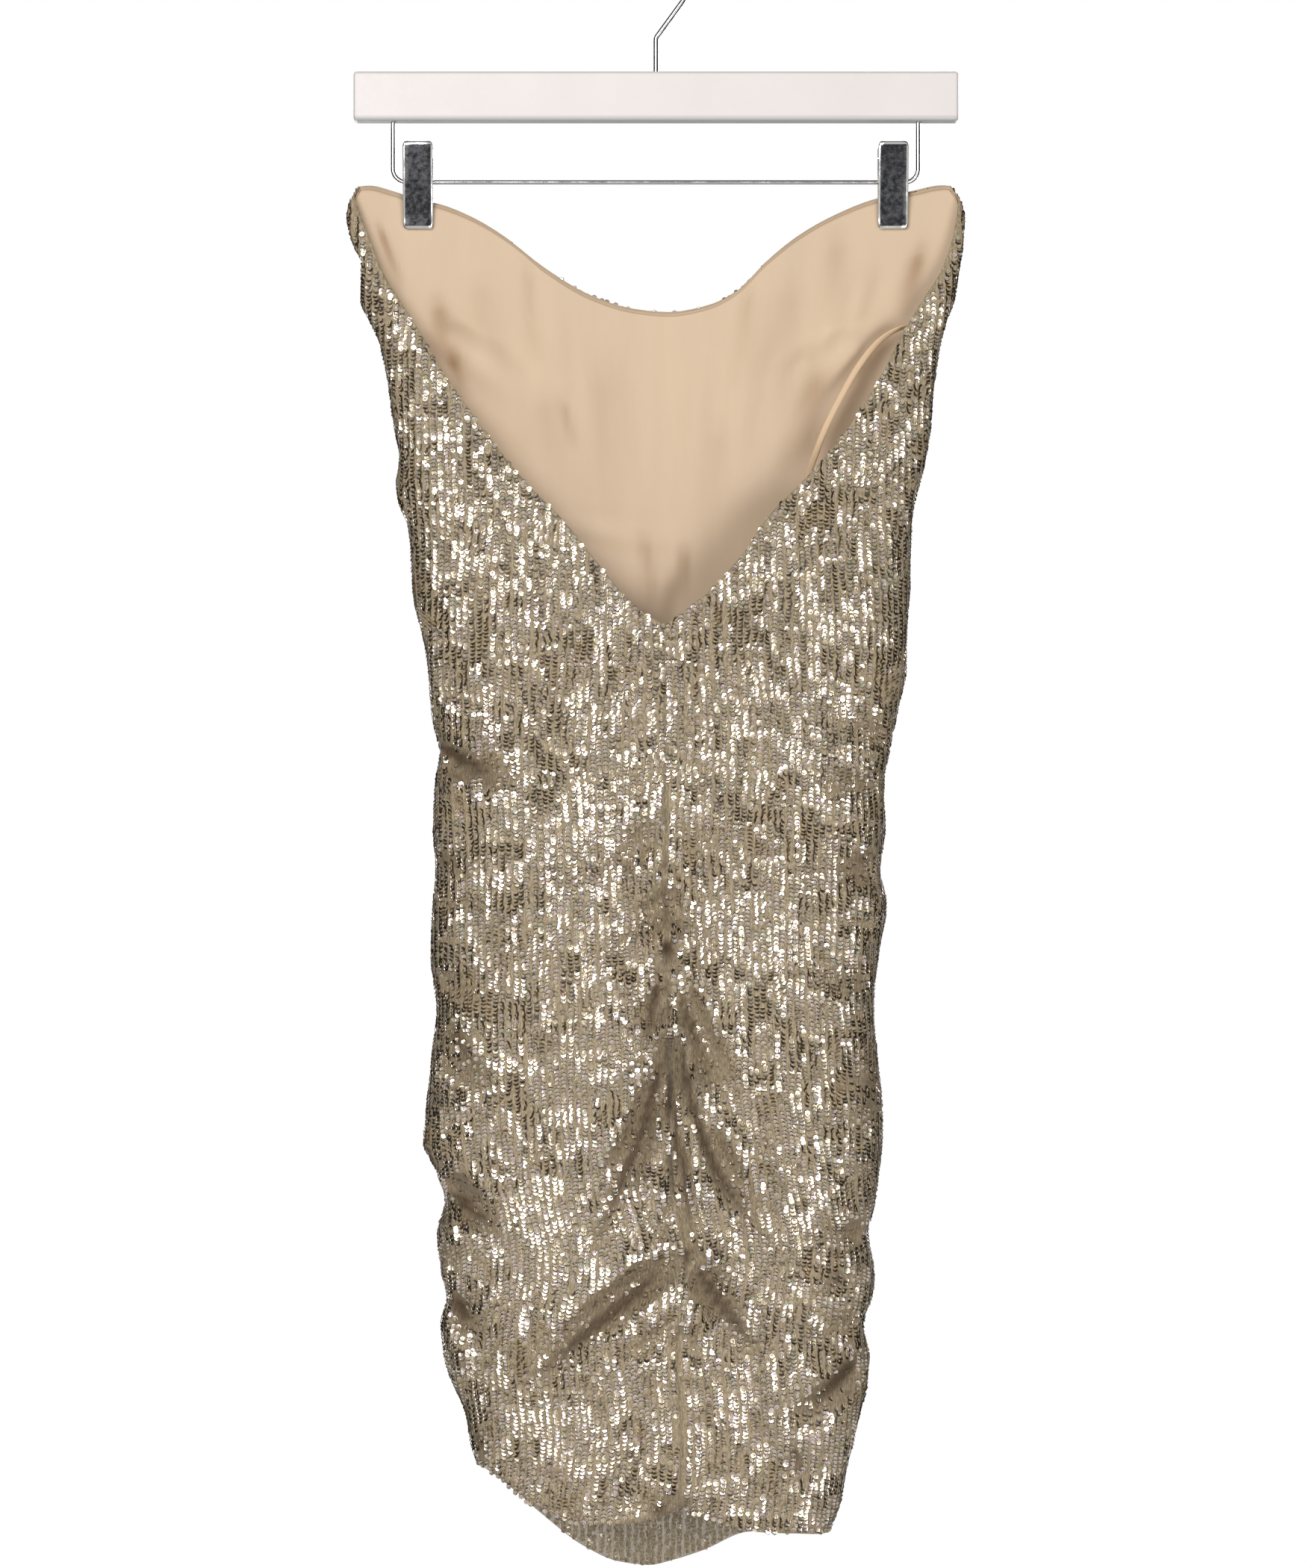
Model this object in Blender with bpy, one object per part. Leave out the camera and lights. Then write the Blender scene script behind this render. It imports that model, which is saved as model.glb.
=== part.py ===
"""A strapless sequin mini dress with a low V back, clipped to a white trouser hanger.

Metres, +Z up. The origin is the highest point inside the hanger's hook, where the
rail bears. The back of the dress faces -Y and its front faces +Y.

The dress is a flattened tube. Every point of its cloth is found from two numbers:
turn, the angle round the tube (0 at the left side seam, half a turn at the right
one, with the front of the dress between them), and drop, the height below the top
of the dress. The panels are pieces of that tube, parted along their seams.
"""

import math

import bmesh
import bpy
import numpy as np

MM = 0.001
FULL_TURN = 2 * math.pi
HALF_TURN = math.pi

# Cloth, in millimetres
WALL = 1.3  # sequin cloth with its backing
LINING_WALL = 1.0
SEAM_GAP = 0.3
LINING_STEP = 1.2  # the sequin cloth rolls this far over the lining at the neck
LINING_FREE_FROM = 26.0  # below here the lining hangs clear of the front
LINING_FREE_RUN = 50.0
LINING_SLACK = 0.8
LINING_MAX_RIDGE = 6.0

# Hanger, in millimetres
HOOK_WIRE = 3.2
HOOK_RADIUS = 20.0
HOOK_RISE = 56.0  # from the bar's top to the middle of the hook's round part
HOOK_SHANK = 22.0  # from the bar's top to the bend of the shank
HOOK_BEND = 5.0  # the radius of that bend
HOOK_END_ANGLE = 202.0  # degrees round the hook, from its right side
HOOK_DEPTH = 18.0  # how far the shank goes into the bar
BAR_LENGTH = 380.0
BAR_HEIGHT = 31.0
BAR_THICKNESS = 14.0
BAR_ROUNDING = 2.0
BAR_TO_DRESS = 70.5  # from the bar's top to the top of the dress
FRAME_WIRE = 2.8
FRAME_LEFT = -165.5
FRAME_RIGHT = 165.0
FRAME_BEND = 8.5
FRAME_DROP = -1.6  # just above the top of the dress
FRAME_DEPTH = 10.0  # how far the wire's ends go into the bar
HOLE_OVERRUN = 5.0
WIRE_CLEARANCE = 0.3
CLIP_CLEARANCE = 0.5

CLIP_LEFT = -149.5
CLIP_RIGHT = 149.0
CLIP_WIDTH = 18.5
CLIP_TOP = -25.5
CLIP_BOTTOM = 27.5
CLIP_PLATE = 1.2
JAW_THUMB = 9.2  # from the hanger's middle plane to the jaw's top
JAW_WAIST = 6.4  # and to its face beside the wire
JAW_BEND = 7.0  # the plate straightens this far above its tip
JAW_FLARE = 0.6
OUTER_JAW_FACE = 2.1  # the outer jaw bears on the front, the inner on the lining
INNER_JAW_FACE = 1.5
CHEEK_WALL = 1.0
CHEEK_ROOT = 5.8
CHEEK_HEIGHT = 9.0
CHEEK_REACH = 3.2  # past the middle of the wire
SPRING_RADIUS = 3.4

BAR_TOP = HOOK_WIRE / 2 - HOOK_RADIUS - HOOK_RISE
DRESS_TOP = BAR_TOP - BAR_TO_DRESS

# The outline seen from the back: how far the sides stand from the middle.
OUTLINE = (
    # drop, left, right
    (0, -187, 185),
    (10, -192, 191.5),
    (20, -194.5, 193.5),
    (36, -191, 193),
    (52, -185, 190.5),
    (74, -185.5, 187),
    (88, -179, 182),
    (104, -172.5, 178),
    (130, -167.5, 174.5),
    (158, -163.5, 172),
    (172, -161, 169.5),
    (190, -163, 165),
    (202, -161, 162),
    (216, -155.5, 160.5),
    (262, -151.8, 159),
    (285, -146.5, 157.5),
    (306, -143, 157),
    (337, -140.5, 150.5),
    (358, -136, 146.5),
    (376, -138.5, 143.5),
    (403, -140, 144),
    (431, -138.5, 141),
    (452, -140.3, 145),
    (487, -141.5, 139.6),
    (516, -137.7, 137),
    (546, -140.8, 139),
    (585, -144.5, 142.4),
    (602, -146.2, 142.3),
    (620, -138, 140.5),
    (638, -132.5, 138),
    (659, -137.3, 133.4),
    (684, -134.8, 137.3),
    (699, -131.6, 135.8),
    (716, -135.2, 130.5),
    (736, -133.2, 133.8),
    (752, -128.4, 133.3),
    (772, -119.5, 128.4),
    (790, -116.5, 124.3),
    (807, -111.5, 120),
    (830, -106, 115.5),
    (850, -101, 108),
    (880, -95, 101),
)

# How deep the tube stands: where its front, back and side seams lie along Y, and
# how square its sides are (2 is round, 8 is nearly a box).
DEPTH = (
    # drop, front, back, seam, squareness
    (0, 1.7, -9, -3.5, 8),
    (36, 1.7, -13, -4.5, 8),
    (75, 4, -19, -6, 5),
    (130, 10, -26, -8, 3.6),
    (200, 18, -32, -8, 3.0),
    (280, 25, -36, -6, 2.7),
    (340, 28, -36, -5, 2.6),
    (420, 31, -40, -4, 2.5),
    (560, 33, -45, -4, 2.4),
    (700, 31, -43, -4, 2.4),
    (800, 28, -38, -4, 2.5),
    (880, 26, -36, -4, 2.5),
)

# The top of the front, a scoop between two peaks.
NECKLINE = (
    # x, drop
    (-194, 8),
    (-188, 1.2),
    (-180, 0.4),
    (-165, 4),
    (-150, 9),
    (-136, 12),
    (-117, 19.5),
    (-98, 30.5),
    (-70, 52),
    (-40, 69.5),
    (-14, 77.5),
    (8, 79.5),
    (32, 75.5),
    (50, 67),
    (71, 46.5),
    (90, 31.5),
    (109, 20.5),
    (137, 9),
    (160, 4),
    (180, 0.2),
    (187, 1.0),
    (194, 8),
)

# The edges of the low back, from the underarms down to the point of the V.
V_EDGES = (
    # drop, left, right
    (0, -192, 191.5),
    (8, -189.5, 190.5),
    (35, -180, 186),
    (55, -172, 179),
    (75, -160, 166.5),
    (95, -147.5, 154.5),
    (120, -133, 141.5),
    (140, -119, 130),
    (165, -101, 112.5),
    (190, -80.5, 90),
    (210, -60.5, 70.5),
    (235, -40, 53),
    (255, -24, 35.5),
    (270, -9, 18),
    (278, 5.2, 5.8),
)
V_POINT_DROP = 278.0
UNDERARM_DROP = 6.0
JUNCTION_LEFT = -104.0  # where the seam under each wing meets the edge of the V
JUNCTION_RIGHT = 112.0
WING_TIP = 2.0  # the height left at the wing's point
CENTRE_X = 6.0  # the centre back seam at the waist

# Between which drops each edge lies, all the way round
NECK_SPAN = (-1.0, 100.0)
V_SPAN = (0.0, V_POINT_DROP)
WING_SPAN = (120.0, 220.0)
WAIST_SPAN = (290.0, 400.0)
HEM_SPAN = (780.0, 879.0)

# How finely the panels are divided
FRONT_COLUMNS = 24
MIDDLE_CROWDING = 0.175  # brings the front's columns closer together in the middle
FRONT_BODICE_ROWS = 11
TOP_CROWDING = 1.25
SKIRT_ROWS = 32
WING_COLUMNS = 8
WING_ROWS = 8
BODICE_COLUMNS = 8
BODICE_ROWS = 9

# The centre back seam wanders where the ruching pulls it.
CENTRE_BACK = (
    # drop, x
    (270, 6),
    (316, 6),
    (440, 5.5),
    (500, 6.5),
    (560, 8),
    (626, 11.5),
    (671, 19),
    (730, 13),
    (791, 16),
    (840, 13),
)

# Seams across the dress. The waist seam rises to the centre back, and the seam
# under each wing climbs from the side to the edge of the V.
WAIST_SEAM = (
    # x, drop at the back, drop at the front
    (-160, 337, 337),
    (-110, 339, 334),
    (-60, 335, 330),
    (6, 316, 326),
    (60, 318, 328),
    (110, 325, 331),
    (160, 332, 332),
)
WING_SEAM = (
    # x, drop
    (-190, 199),
    (-162, 191),
    (-140, 178),
    (-104, 161),
    (112, 165.5),
    (140, 173),
    (165, 183),
    (190, 190),
)

HEM = (
    # x, drop at the back, drop at the front
    (-130, 801, 801),
    (-111, 804, 806),
    (-75, 828, 838),
    (-46, 837, 861),
    (-24, 836, 871),
    (-4, 831, 873.5),
    (8, 827, 871),
    (30, 834, 864),
    (58, 842, 852),
    (85, 844, 850),
    (108, 846, 848),
    (130, 846, 848),
)

# Folds of the back. Each runs along a bow from its start, where it is sharpest,
# through its middle to its end, where it fades. It is a trough with raised lips.
BACK_FOLDS = (
    # x and drop at the start, the middle and the end, then depth and width
    (-137, 360, -112, 371, -70, 378, 7.5, 12),
    (-141, 318, -110, 322, -66, 330, 3.0, 13),
    (-140, 448, -118, 458, -80, 450, 4.0, 14),
    (-143, 500, -114, 512, -72, 504, 3.6, 14),
    (-139, 546, -118, 560, -88, 584, 5.0, 13),
    (-131, 622, -112, 646, -86, 668, 8.5, 13),
    (-131, 692, -116, 712, -98, 740, 7.0, 13),
    (-128, 752, -104, 750, -76, 742, 3.6, 14),
    (150, 349, 128, 340, 92, 331, 4.4, 13),
    (143, 376, 120, 380, 84, 374, 5.4, 13),
    (140, 432, 116, 425, 80, 430, 3.6, 14),
    (137, 504, 118, 496, 84, 490, 4.8, 14),
    (138, 560, 112, 566, 78, 560, 3.6, 15),
    (133, 657, 116, 662, 90, 655, 6.0, 13),
    (131, 712, 113, 722, 88, 720, 5.4, 13),
    (129, 742, 104, 762, 70, 786, 7.0, 13),
    (8, 392, -22, 428, -62, 446, 4.6, 14),
    (8, 398, 34, 420, 68, 428, 3.6, 14),
    (8, 446, -14, 474, -46, 496, 5.0, 13),
    (8, 452, 30, 476, 60, 498, 4.4, 13),
    (6, 500, -4, 522, -14, 552, 6.0, 11),
    (7, 540, -8, 600, -46, 668, 9.5, 13),
    (12, 504, 46, 552, 46, 600, 7.0, 12),
    (8, 536, 12, 590, 22, 664, 8.0, 10),
    (28, 584, 42, 624, 78, 668, 8.5, 13),
    (20, 668, -34, 700, -88, 756, 10.0, 14),
    (20, 674, 42, 698, 62, 726, 8.5, 13),
    (13, 826, -4, 822, -22, 830, 4.0, 11),
    (12, 826, 26, 826, 46, 834, 3.4, 11),
)

# Folds of the front, which the photograph hides: like those of the back, fewer.
FRONT_FOLDS = (
    # x and drop at the start, the middle and the end, then depth and width
    (-134, 92, -104, 118, -66, 140, 5.0, 16),
    (136, 96, 100, 118, 62, 136, 5.0, 16),
    (-130, 176, -96, 190, -50, 192, 3.6, 17),
    (132, 172, 96, 192, 52, 196, 3.6, 17),
    (-137, 358, -108, 372, -66, 374, 7.0, 14),
    (143, 374, 112, 366, 72, 370, 6.0, 14),
    (-138, 432, -104, 424, -52, 434, 4.6, 16),
    (141, 430, 104, 446, 56, 446, 4.6, 16),
    (-138, 514, -106, 538, -58, 548, 7.0, 15),
    (137, 516, 108, 500, 58, 508, 6.0, 15),
    (-134, 626, -104, 650, -50, 664, 8.0, 15),
    (134, 660, 104, 638, 52, 640, 7.0, 15),
    (-132, 698, -100, 690, -54, 706, 5.6, 15),
    (131, 716, 104, 738, 62, 750, 6.6, 15),
)

# Small puckers where the cloth is gathered onto the side seams and centre back.
GATHER_PITCH = 34.0
GATHER_HEIGHT = 2.2
GATHER_REACH = 26.0
GATHER_FROM = 338.0
GATHER_TO = 770.0
FOLD_MARGIN = 10.0  # folds grow to their full depth this far from the sides
BOW_STEPS = 12
STEP_TURN = 0.012  # the steps across which the cloth's slope is measured
STEP_DROP = 1.0
HALVINGS = 40  # how often a search for an edge halves its span
FOLD_NARROW = 0.75  # a fold's width at its start, as a share of the table's
FOLD_WIDE = 1.35  # and at its end
FOLD_FADE = 1.6
FOLD_START = 0.35  # a fold's depth at its very start, as a share of its full depth
FOLD_GROWN = 0.2  # and how far along its line it reaches that full depth
FOLD_LIMIT = 9.0  # no fold or crossing of folds moves the cloth further than this

# The front lining hangs in soft folds, each a low ridge on the inside.
LINING_FOLDS = (
    # x and drop at the start, the middle and the end, then depth and width
    (-176, 24, -168, 46, -156, 74, 2.6, 7),
    (-132, 84, -130, 118, -134, 160, 5.0, 11),
    (-112, 60, -104, 130, -92, 200, 3.0, 12),
    (-66, 74, -64, 140, -58, 230, 3.4, 12),
    (-36, 96, -22, 170, -16, 270, 3.8, 11),
    (6, 240, 0, 262, -2, 310, 4.6, 8),
    (26, 110, 24, 190, 16, 300, 3.4, 11),
    (60, 84, 52, 160, 34, 250, 3.6, 12),
    (98, 96, 84, 150, 58, 214, 4.4, 11),
    (134, 44, 122, 92, 98, 162, 5.0, 11),
    (164, 44, 154, 66, 140, 96, 2.8, 9),
)

# The hanging loop: a ribbon whose two ends are sewn into the right side seam. It
# hangs inside, and its upper run shows through the low back.
LOOP_WIDTH = 4.2
LOOP_THICKNESS = 1.0
LOOP_SEAT = 1.5  # from the wall's inner face to the ribbon's ends
LOOP_POINTS = 38
LOOP_END_Y = -10.0
LOOP_ENDS = (99.0, 122.0)  # the drops at which the ribbon is sewn in
LOOP_PATH = (
    # x, y, drop, twist in degrees from facing the viewer
    (168, -11, 93, 75),
    (158, -11.5, 91, 65),
    (147, -11.5, 95, 50),
    (137, -12, 103, 30),
    (126, -12.5, 117, 10),
    (116, -12.5, 134, 0),
    (107, -12.5, 152, 0),
    (100, -12.5, 170, 0),
    (93.5, -12.5, 190, 0),
    (90, -12.5, 215, 0),
    (92, -12.5, 236, 0),
    (101, -12.5, 246, 0),
    (112, -12.5, 240, 0),
    (120, -12.5, 220, 0),
    (130, -12.5, 190, 0),
    (142, -12, 160, 20),
    (157, -11.5, 136, 60),
)

COLOURS = {
    # red, green, blue, roughness, metallic
    "sequin_cloth": (0.40, 0.34, 0.25, 0.35, 0.6),
    "lining": (0.72, 0.57, 0.40, 0.75, 0.0),
    "white_wood": (0.81, 0.79, 0.76, 0.45, 0.0),
    "chrome": (0.60, 0.61, 0.63, 0.15, 1.0),
    "ribbon": (0.70, 0.54, 0.36, 0.4, 0.0),
}


def smooth(table, at, column=1):
    """A column of a table read at any place, on a smooth curve through its rows."""
    rows = np.array(table, float)
    places, values = rows[:, 0], rows[:, column]
    steps = np.diff(places)
    slopes = np.diff(values) / steps
    tangents = np.zeros(len(values))
    same_way = slopes[:-1] * slopes[1:] > 0
    weights = steps[1:] + steps[:-1]
    with np.errstate(divide="ignore", invalid="ignore"):
        gentle = 3 * weights / (
            (weights + steps[1:]) / slopes[:-1] + (weights + steps[:-1]) / slopes[1:]
        )
    tangents[1:-1] = np.where(same_way, gentle, 0)
    tangents[0], tangents[-1] = slopes[0], slopes[-1]
    at = np.clip(np.asarray(at, float), places[0], places[-1])
    row = np.clip(np.searchsorted(places, at) - 1, 0, len(steps) - 1)
    t = (at - places[row]) / steps[row]
    return (
        values[row] * (1 + 2 * t) * (1 - t) ** 2
        + values[row + 1] * t * t * (3 - 2 * t)
        + steps[row] * t * (1 - t) * (tangents[row] * (1 - t) - tangents[row + 1] * t)
    )


def ramp(value, start, end):
    """0 before start and 1 after end, rising smoothly between them."""
    t = np.clip((value - start) / (end - start), 0, 1)
    return t * t * (3 - 2 * t)


def near_line(line, x, drop):
    """Distance to a fold's line in fold widths, and the depth there.

    The line is a bow of three points. The fold fades and widens towards its end.
    """
    x0, drop0, x1, drop1, x2, drop2, depth, width = line
    t = np.linspace(0, 1, BOW_STEPS + 1)
    line_x = (1 - t) ** 2 * x0 + 2 * t * (1 - t) * x1 + t**2 * x2
    line_drop = (1 - t) ** 2 * drop0 + 2 * t * (1 - t) * drop1 + t**2 * drop2
    nearest = np.full(np.shape(x), np.inf)
    along = np.zeros(np.shape(x))
    for k in range(BOW_STEPS):
        run_x, run_drop = line_x[k + 1] - line_x[k], line_drop[k + 1] - line_drop[k]
        share = (x - line_x[k]) * run_x + (drop - line_drop[k]) * run_drop
        share = np.clip(share / (run_x**2 + run_drop**2), 0, 1)
        away = np.hypot(
            x - line_x[k] - share * run_x, drop - line_drop[k] - share * run_drop
        )
        closer = away < nearest
        nearest = np.where(closer, away, nearest)
        along = np.where(closer, (k + share) / BOW_STEPS, along)
    widened = width * (FOLD_NARROW + (FOLD_WIDE - FOLD_NARROW) * along)
    grown = FOLD_START + (1 - FOLD_START) * ramp(along, 0, FOLD_GROWN)
    return nearest / widened, depth * grown * (1 - along**FOLD_FADE)


def folds(table, x, drop):
    """How far a set of folds moves the cloth outwards: troughs with raised lips."""
    moved = np.zeros(np.shape(x))
    for line in table:
        away, depth = near_line(line, x, drop)
        moved += depth * (2 * away**2 - 1) * np.exp(-(away**2))
    return FOLD_LIMIT * np.tanh(moved / FOLD_LIMIT)


def ridges(table, x, drop):
    """How far a set of folds raises the cloth: low ridges with nothing beside them."""
    moved = np.zeros(np.shape(x))
    for line in table:
        away, depth = near_line(line, x, drop)
        moved += depth * np.exp(-(away**2))
    return moved


def gathers(x, drop, seam_x, phase):
    """Small puckers across a gathered seam, fading away from it."""
    near = np.exp(-np.abs(x - seam_x) / GATHER_REACH)
    where = ramp(drop, GATHER_FROM, GATHER_FROM + 30)
    where = where * (1 - ramp(drop, GATHER_TO - 40, GATHER_TO))
    wave = np.sin(FULL_TURN * drop / GATHER_PITCH + phase + 1.3 * np.sin(drop / 41))
    return GATHER_HEIGHT * near * where * wave


def plain_ring(turn, drop):
    """The tube before its folds: x and y at each turn and drop."""
    left, right = smooth(OUTLINE, drop, 1), smooth(OUTLINE, drop, 2)
    front, back = smooth(DEPTH, drop, 1), smooth(DEPTH, drop, 2)
    seam, square = smooth(DEPTH, drop, 3), smooth(DEPTH, drop, 4)
    across = -np.cos(turn)
    bulge = (1 - np.abs(across) ** square).clip(0) ** (1 / square)
    middle = np.where(np.sin(turn) >= 0, front, back)
    x = (left + right) / 2 + (right - left) / 2 * across
    return x, seam + (middle - seam) * bulge


def cloth(turn, drop):
    """Points of the dress's outer face, as an array of x, y, z in millimetres."""
    x, y = plain_ring(turn, drop)
    is_back = np.sin(turn) < 0
    left, right = smooth(OUTLINE, drop, 1), smooth(OUTLINE, drop, 2)
    moved = np.where(is_back, folds(BACK_FOLDS, x, drop), folds(FRONT_FOLDS, x, drop))
    moved = moved + gathers(x, drop, left, 0.0) + gathers(x, drop, right, 2.0)
    middle = smooth(CENTRE_BACK, drop)
    moved = moved + np.where(is_back, 1.2 * gathers(x, drop, middle, 4.0), 0)
    # Along the seams themselves the outline already holds the folds.
    inside = np.minimum(x - left, right - x)
    moved = moved * ramp(inside, 0, FOLD_MARGIN)
    y = y + np.where(is_back, -moved, moved)
    return np.stack([x, y, DRESS_TOP - drop + 0 * x], axis=-1)


def outward(turn, drop):
    """The cloth's outward normal, measured across a small step each way."""
    round_it = cloth(turn + STEP_TURN, drop) - cloth(turn - STEP_TURN, drop)
    down_it = cloth(turn, drop + STEP_DROP) - cloth(turn, drop - STEP_DROP)
    normal = np.cross(round_it, down_it)
    return normal / np.linalg.norm(normal, axis=-1, keepdims=True)


def turn_at(x, drop, is_back):
    """The turn at which the plain tube passes a given x."""
    left, right = smooth(OUTLINE, drop, 1), smooth(OUTLINE, drop, 2)
    across = np.clip((2 * x - left - right) / (right - left), -1, 1)
    turn = np.arccos(-across)
    return FULL_TURN - turn if is_back else turn


def drop_on_edge(turn, span, edge):
    """The drop at which a column of the tube, at a fixed turn, meets an edge."""
    low, high = (np.full(np.shape(turn), limit) for limit in span)
    for _ in range(HALVINGS):
        middle = (low + high) / 2
        beyond = edge(plain_ring(turn, middle)[0], middle)
        low, high = np.where(beyond, low, middle), np.where(beyond, middle, high)
    return (low + high) / 2


def below_neckline(x, drop):
    return drop > smooth(NECKLINE, x)


def below_left_edge(x, drop):
    return x < smooth(V_EDGES, drop, 1)


def below_right_edge(x, drop):
    return x > smooth(V_EDGES, drop, 2)


def below_waist(is_back):
    column = 1 if is_back else 2
    return lambda x, drop: drop > smooth(WAIST_SEAM, x, column)


def below_wing_seam(x, drop):
    return drop > smooth(WING_SEAM, x)


def below_hem(is_back):
    column = 1 if is_back else 2
    return lambda x, drop: drop > smooth(HEM, x, column)


def solid_from_faces(name, outer, inner, slot):
    """One closed wall from a grid of outer points and a grid of inner points."""
    rows, columns = outer.shape[:2]
    shape = bmesh.new()
    grids = [
        [[shape.verts.new(point * MM) for point in row] for row in grid]
        for grid in (outer, inner)
    ]

    def face(*corners):
        shape.faces.new(corners)

    for r in range(rows - 1):
        for c in range(columns - 1):
            a, b = grids[0][r], grids[0][r + 1]
            face(a[c], b[c], b[c + 1], a[c + 1])
            a, b = grids[1][r], grids[1][r + 1]
            face(a[c], a[c + 1], b[c + 1], b[c])
    border = [(0, c) for c in range(columns - 1)]
    border += [(r, columns - 1) for r in range(rows - 1)]
    border += [(rows - 1, c) for c in range(columns - 1, 0, -1)]
    border += [(r, 0) for r in range(rows - 1, 0, -1)]
    for (r, c), (next_r, next_c) in zip(border, border[1:] + border[:1]):
        out, into = grids
        face(out[r][c], out[next_r][next_c], into[next_r][next_c], into[r][c])
    bmesh.ops.recalc_face_normals(shape, faces=shape.faces)
    return finished(name, shape, slot)


def finished(name, shape, slot, smooth_shaded=True):
    """An object from a bmesh, with its material."""
    mesh = bpy.data.meshes.new(name)
    shape.to_mesh(mesh)
    shape.free()
    if smooth_shaded:
        mesh.shade_smooth()
        mesh.set_sharp_from_angle(angle=math.radians(50))
    mesh.materials.append(material(slot))
    made = bpy.data.objects.new(name, mesh)
    bpy.context.scene.collection.objects.link(made)
    return made


def material(slot):
    if slot in bpy.data.materials:
        return bpy.data.materials[slot]
    red, green, blue, roughness, metallic = COLOURS[slot]
    made = bpy.data.materials.new(slot)
    made.use_nodes = True
    shader = made.node_tree.nodes["Principled BSDF"]
    shader.inputs["Base Color"].default_value = (red, green, blue, 1)
    shader.inputs["Roughness"].default_value = roughness
    shader.inputs["Metallic"].default_value = metallic
    return made


def wall_faces(turn, drop):
    """The outer and inner points of a panel's wall, and its outward normals."""
    outer, normal = cloth(turn, drop), outward(turn, drop)
    # Along a side seam both panels end in the same plane.
    at_side = np.abs(np.sin(turn)) < 1e-6
    normal[..., 1] = np.where(at_side, 0, normal[..., 1])
    normal /= np.linalg.norm(normal, axis=-1, keepdims=True)
    return outer, outer - WALL * normal, normal


def wall(name, turn, drop, shift):
    """A panel's wall from a grid of turns and drops, moved off its seams by shift."""
    outer, inner, _ = wall_faces(turn, drop)
    shift = np.array(shift) * SEAM_GAP / 2
    solid_from_faces(name, outer + shift, inner + shift, "sequin_cloth")


def rows_between(tops, bottoms, rows, crowding=1.0):
    """Drops of a grid: each column divided between its two edges.

    A crowding above 1 brings the rows closer together near the top.
    """
    down = np.linspace(0, 1, rows + 1)[:, None] ** crowding
    return tops[None, :] * (1 - down) + bottoms[None, :] * down


def front_panels():
    """The bodice, skirt and lining of the front, each from side seam to side seam."""
    share = np.linspace(0, 1, FRONT_COLUMNS + 1)
    turns = HALF_TURN * share + MIDDLE_CROWDING * np.sin(FULL_TURN * share)
    waist = drop_on_edge(turns, WAIST_SPAN, below_waist(False))
    neck = drop_on_edge(turns, NECK_SPAN, below_neckline)
    hem = drop_on_edge(turns, HEM_SPAN, below_hem(False))
    drop = rows_between(waist, hem, SKIRT_ROWS)
    wall("front_skirt", np.broadcast_to(turns, drop.shape), drop, (0, 1, 0))
    drop = rows_between(neck, waist - SEAM_GAP, FRONT_BODICE_ROWS, TOP_CROWDING)
    turn = np.broadcast_to(turns, drop.shape)
    wall("front_bodice", turn, drop, (0, 1, 0))
    front_lining(turn, drop)


def back_panels(side, side_turn, below_edge, junction_x, lean):
    """The wing, bodice and skirt of one half of the back.

    The wing's seam meets the edge of the V at junction_x. lean is -1 on the left
    and 1 on the right: the way the half moves clear of the centre back seam.
    """
    junction_turn = turn_at(junction_x, smooth(WING_SEAM, junction_x), True)
    centre_drop = smooth(WAIST_SEAM, CENTRE_X)
    centre_turn = turn_at(CENTRE_X, centre_drop, True)
    across_wing = np.linspace(0, 1, WING_COLUMNS + 1)
    across_rest = np.linspace(0, 1, BODICE_COLUMNS + 1)[1:]
    wing_turns = side_turn + (junction_turn - side_turn) * across_wing
    rest_turns = junction_turn + (centre_turn - junction_turn) * across_rest
    turns = np.concatenate([wing_turns, rest_turns])

    wing_tops = drop_on_edge(wing_turns, V_SPAN, below_edge)
    wing_tops[0] = UNDERARM_DROP
    seam = drop_on_edge(wing_turns, WING_SPAN, below_wing_seam)
    wing_tops = np.minimum(wing_tops, seam - WING_TIP)
    drop = rows_between(wing_tops, seam - SEAM_GAP, WING_ROWS)
    turn = np.broadcast_to(wing_turns, drop.shape)
    wall(f"back_wing_{side}", turn, drop, (lean, -1, 0))

    rest_tops = drop_on_edge(rest_turns, V_SPAN, below_edge)
    waist = drop_on_edge(turns, WAIST_SPAN, below_waist(True))
    tops = np.concatenate([seam, rest_tops])
    drop = rows_between(tops, waist - SEAM_GAP, BODICE_ROWS)
    turn = np.broadcast_to(turns, drop.shape)
    wall(f"back_bodice_{side}", turn, drop, (lean, -1, 0))

    hem = drop_on_edge(turns, HEM_SPAN, below_hem(True))
    drop = rows_between(waist, hem, SKIRT_ROWS)
    share = (turns - side_turn) / (centre_turn - side_turn)
    centre = turn_at(smooth(CENTRE_BACK, drop), drop, True)
    wall(
        f"back_skirt_{side}",
        side_turn + (centre - side_turn) * share,
        drop,
        (lean, -1, 0),
    )


def lining_inset(x, drop):
    """How far the lining stands in from the sequin cloth."""
    loose = ramp(drop, LINING_FREE_FROM, LINING_FREE_FROM + LINING_FREE_RUN)
    raised = np.minimum(ridges(LINING_FOLDS, x, drop), LINING_MAX_RIDGE)
    return SEAM_GAP + loose * (LINING_SLACK + raised)


def with_midpoints(grid):
    """A grid with a column added halfway between each pair of its own."""
    rows, columns = grid.shape[:2]
    finer = np.zeros((rows, 2 * columns - 1) + grid.shape[2:])
    finer[:, ::2] = grid
    finer[:, 1::2] = (grid[:, 1:] + grid[:, :-1]) / 2
    return finer


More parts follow.
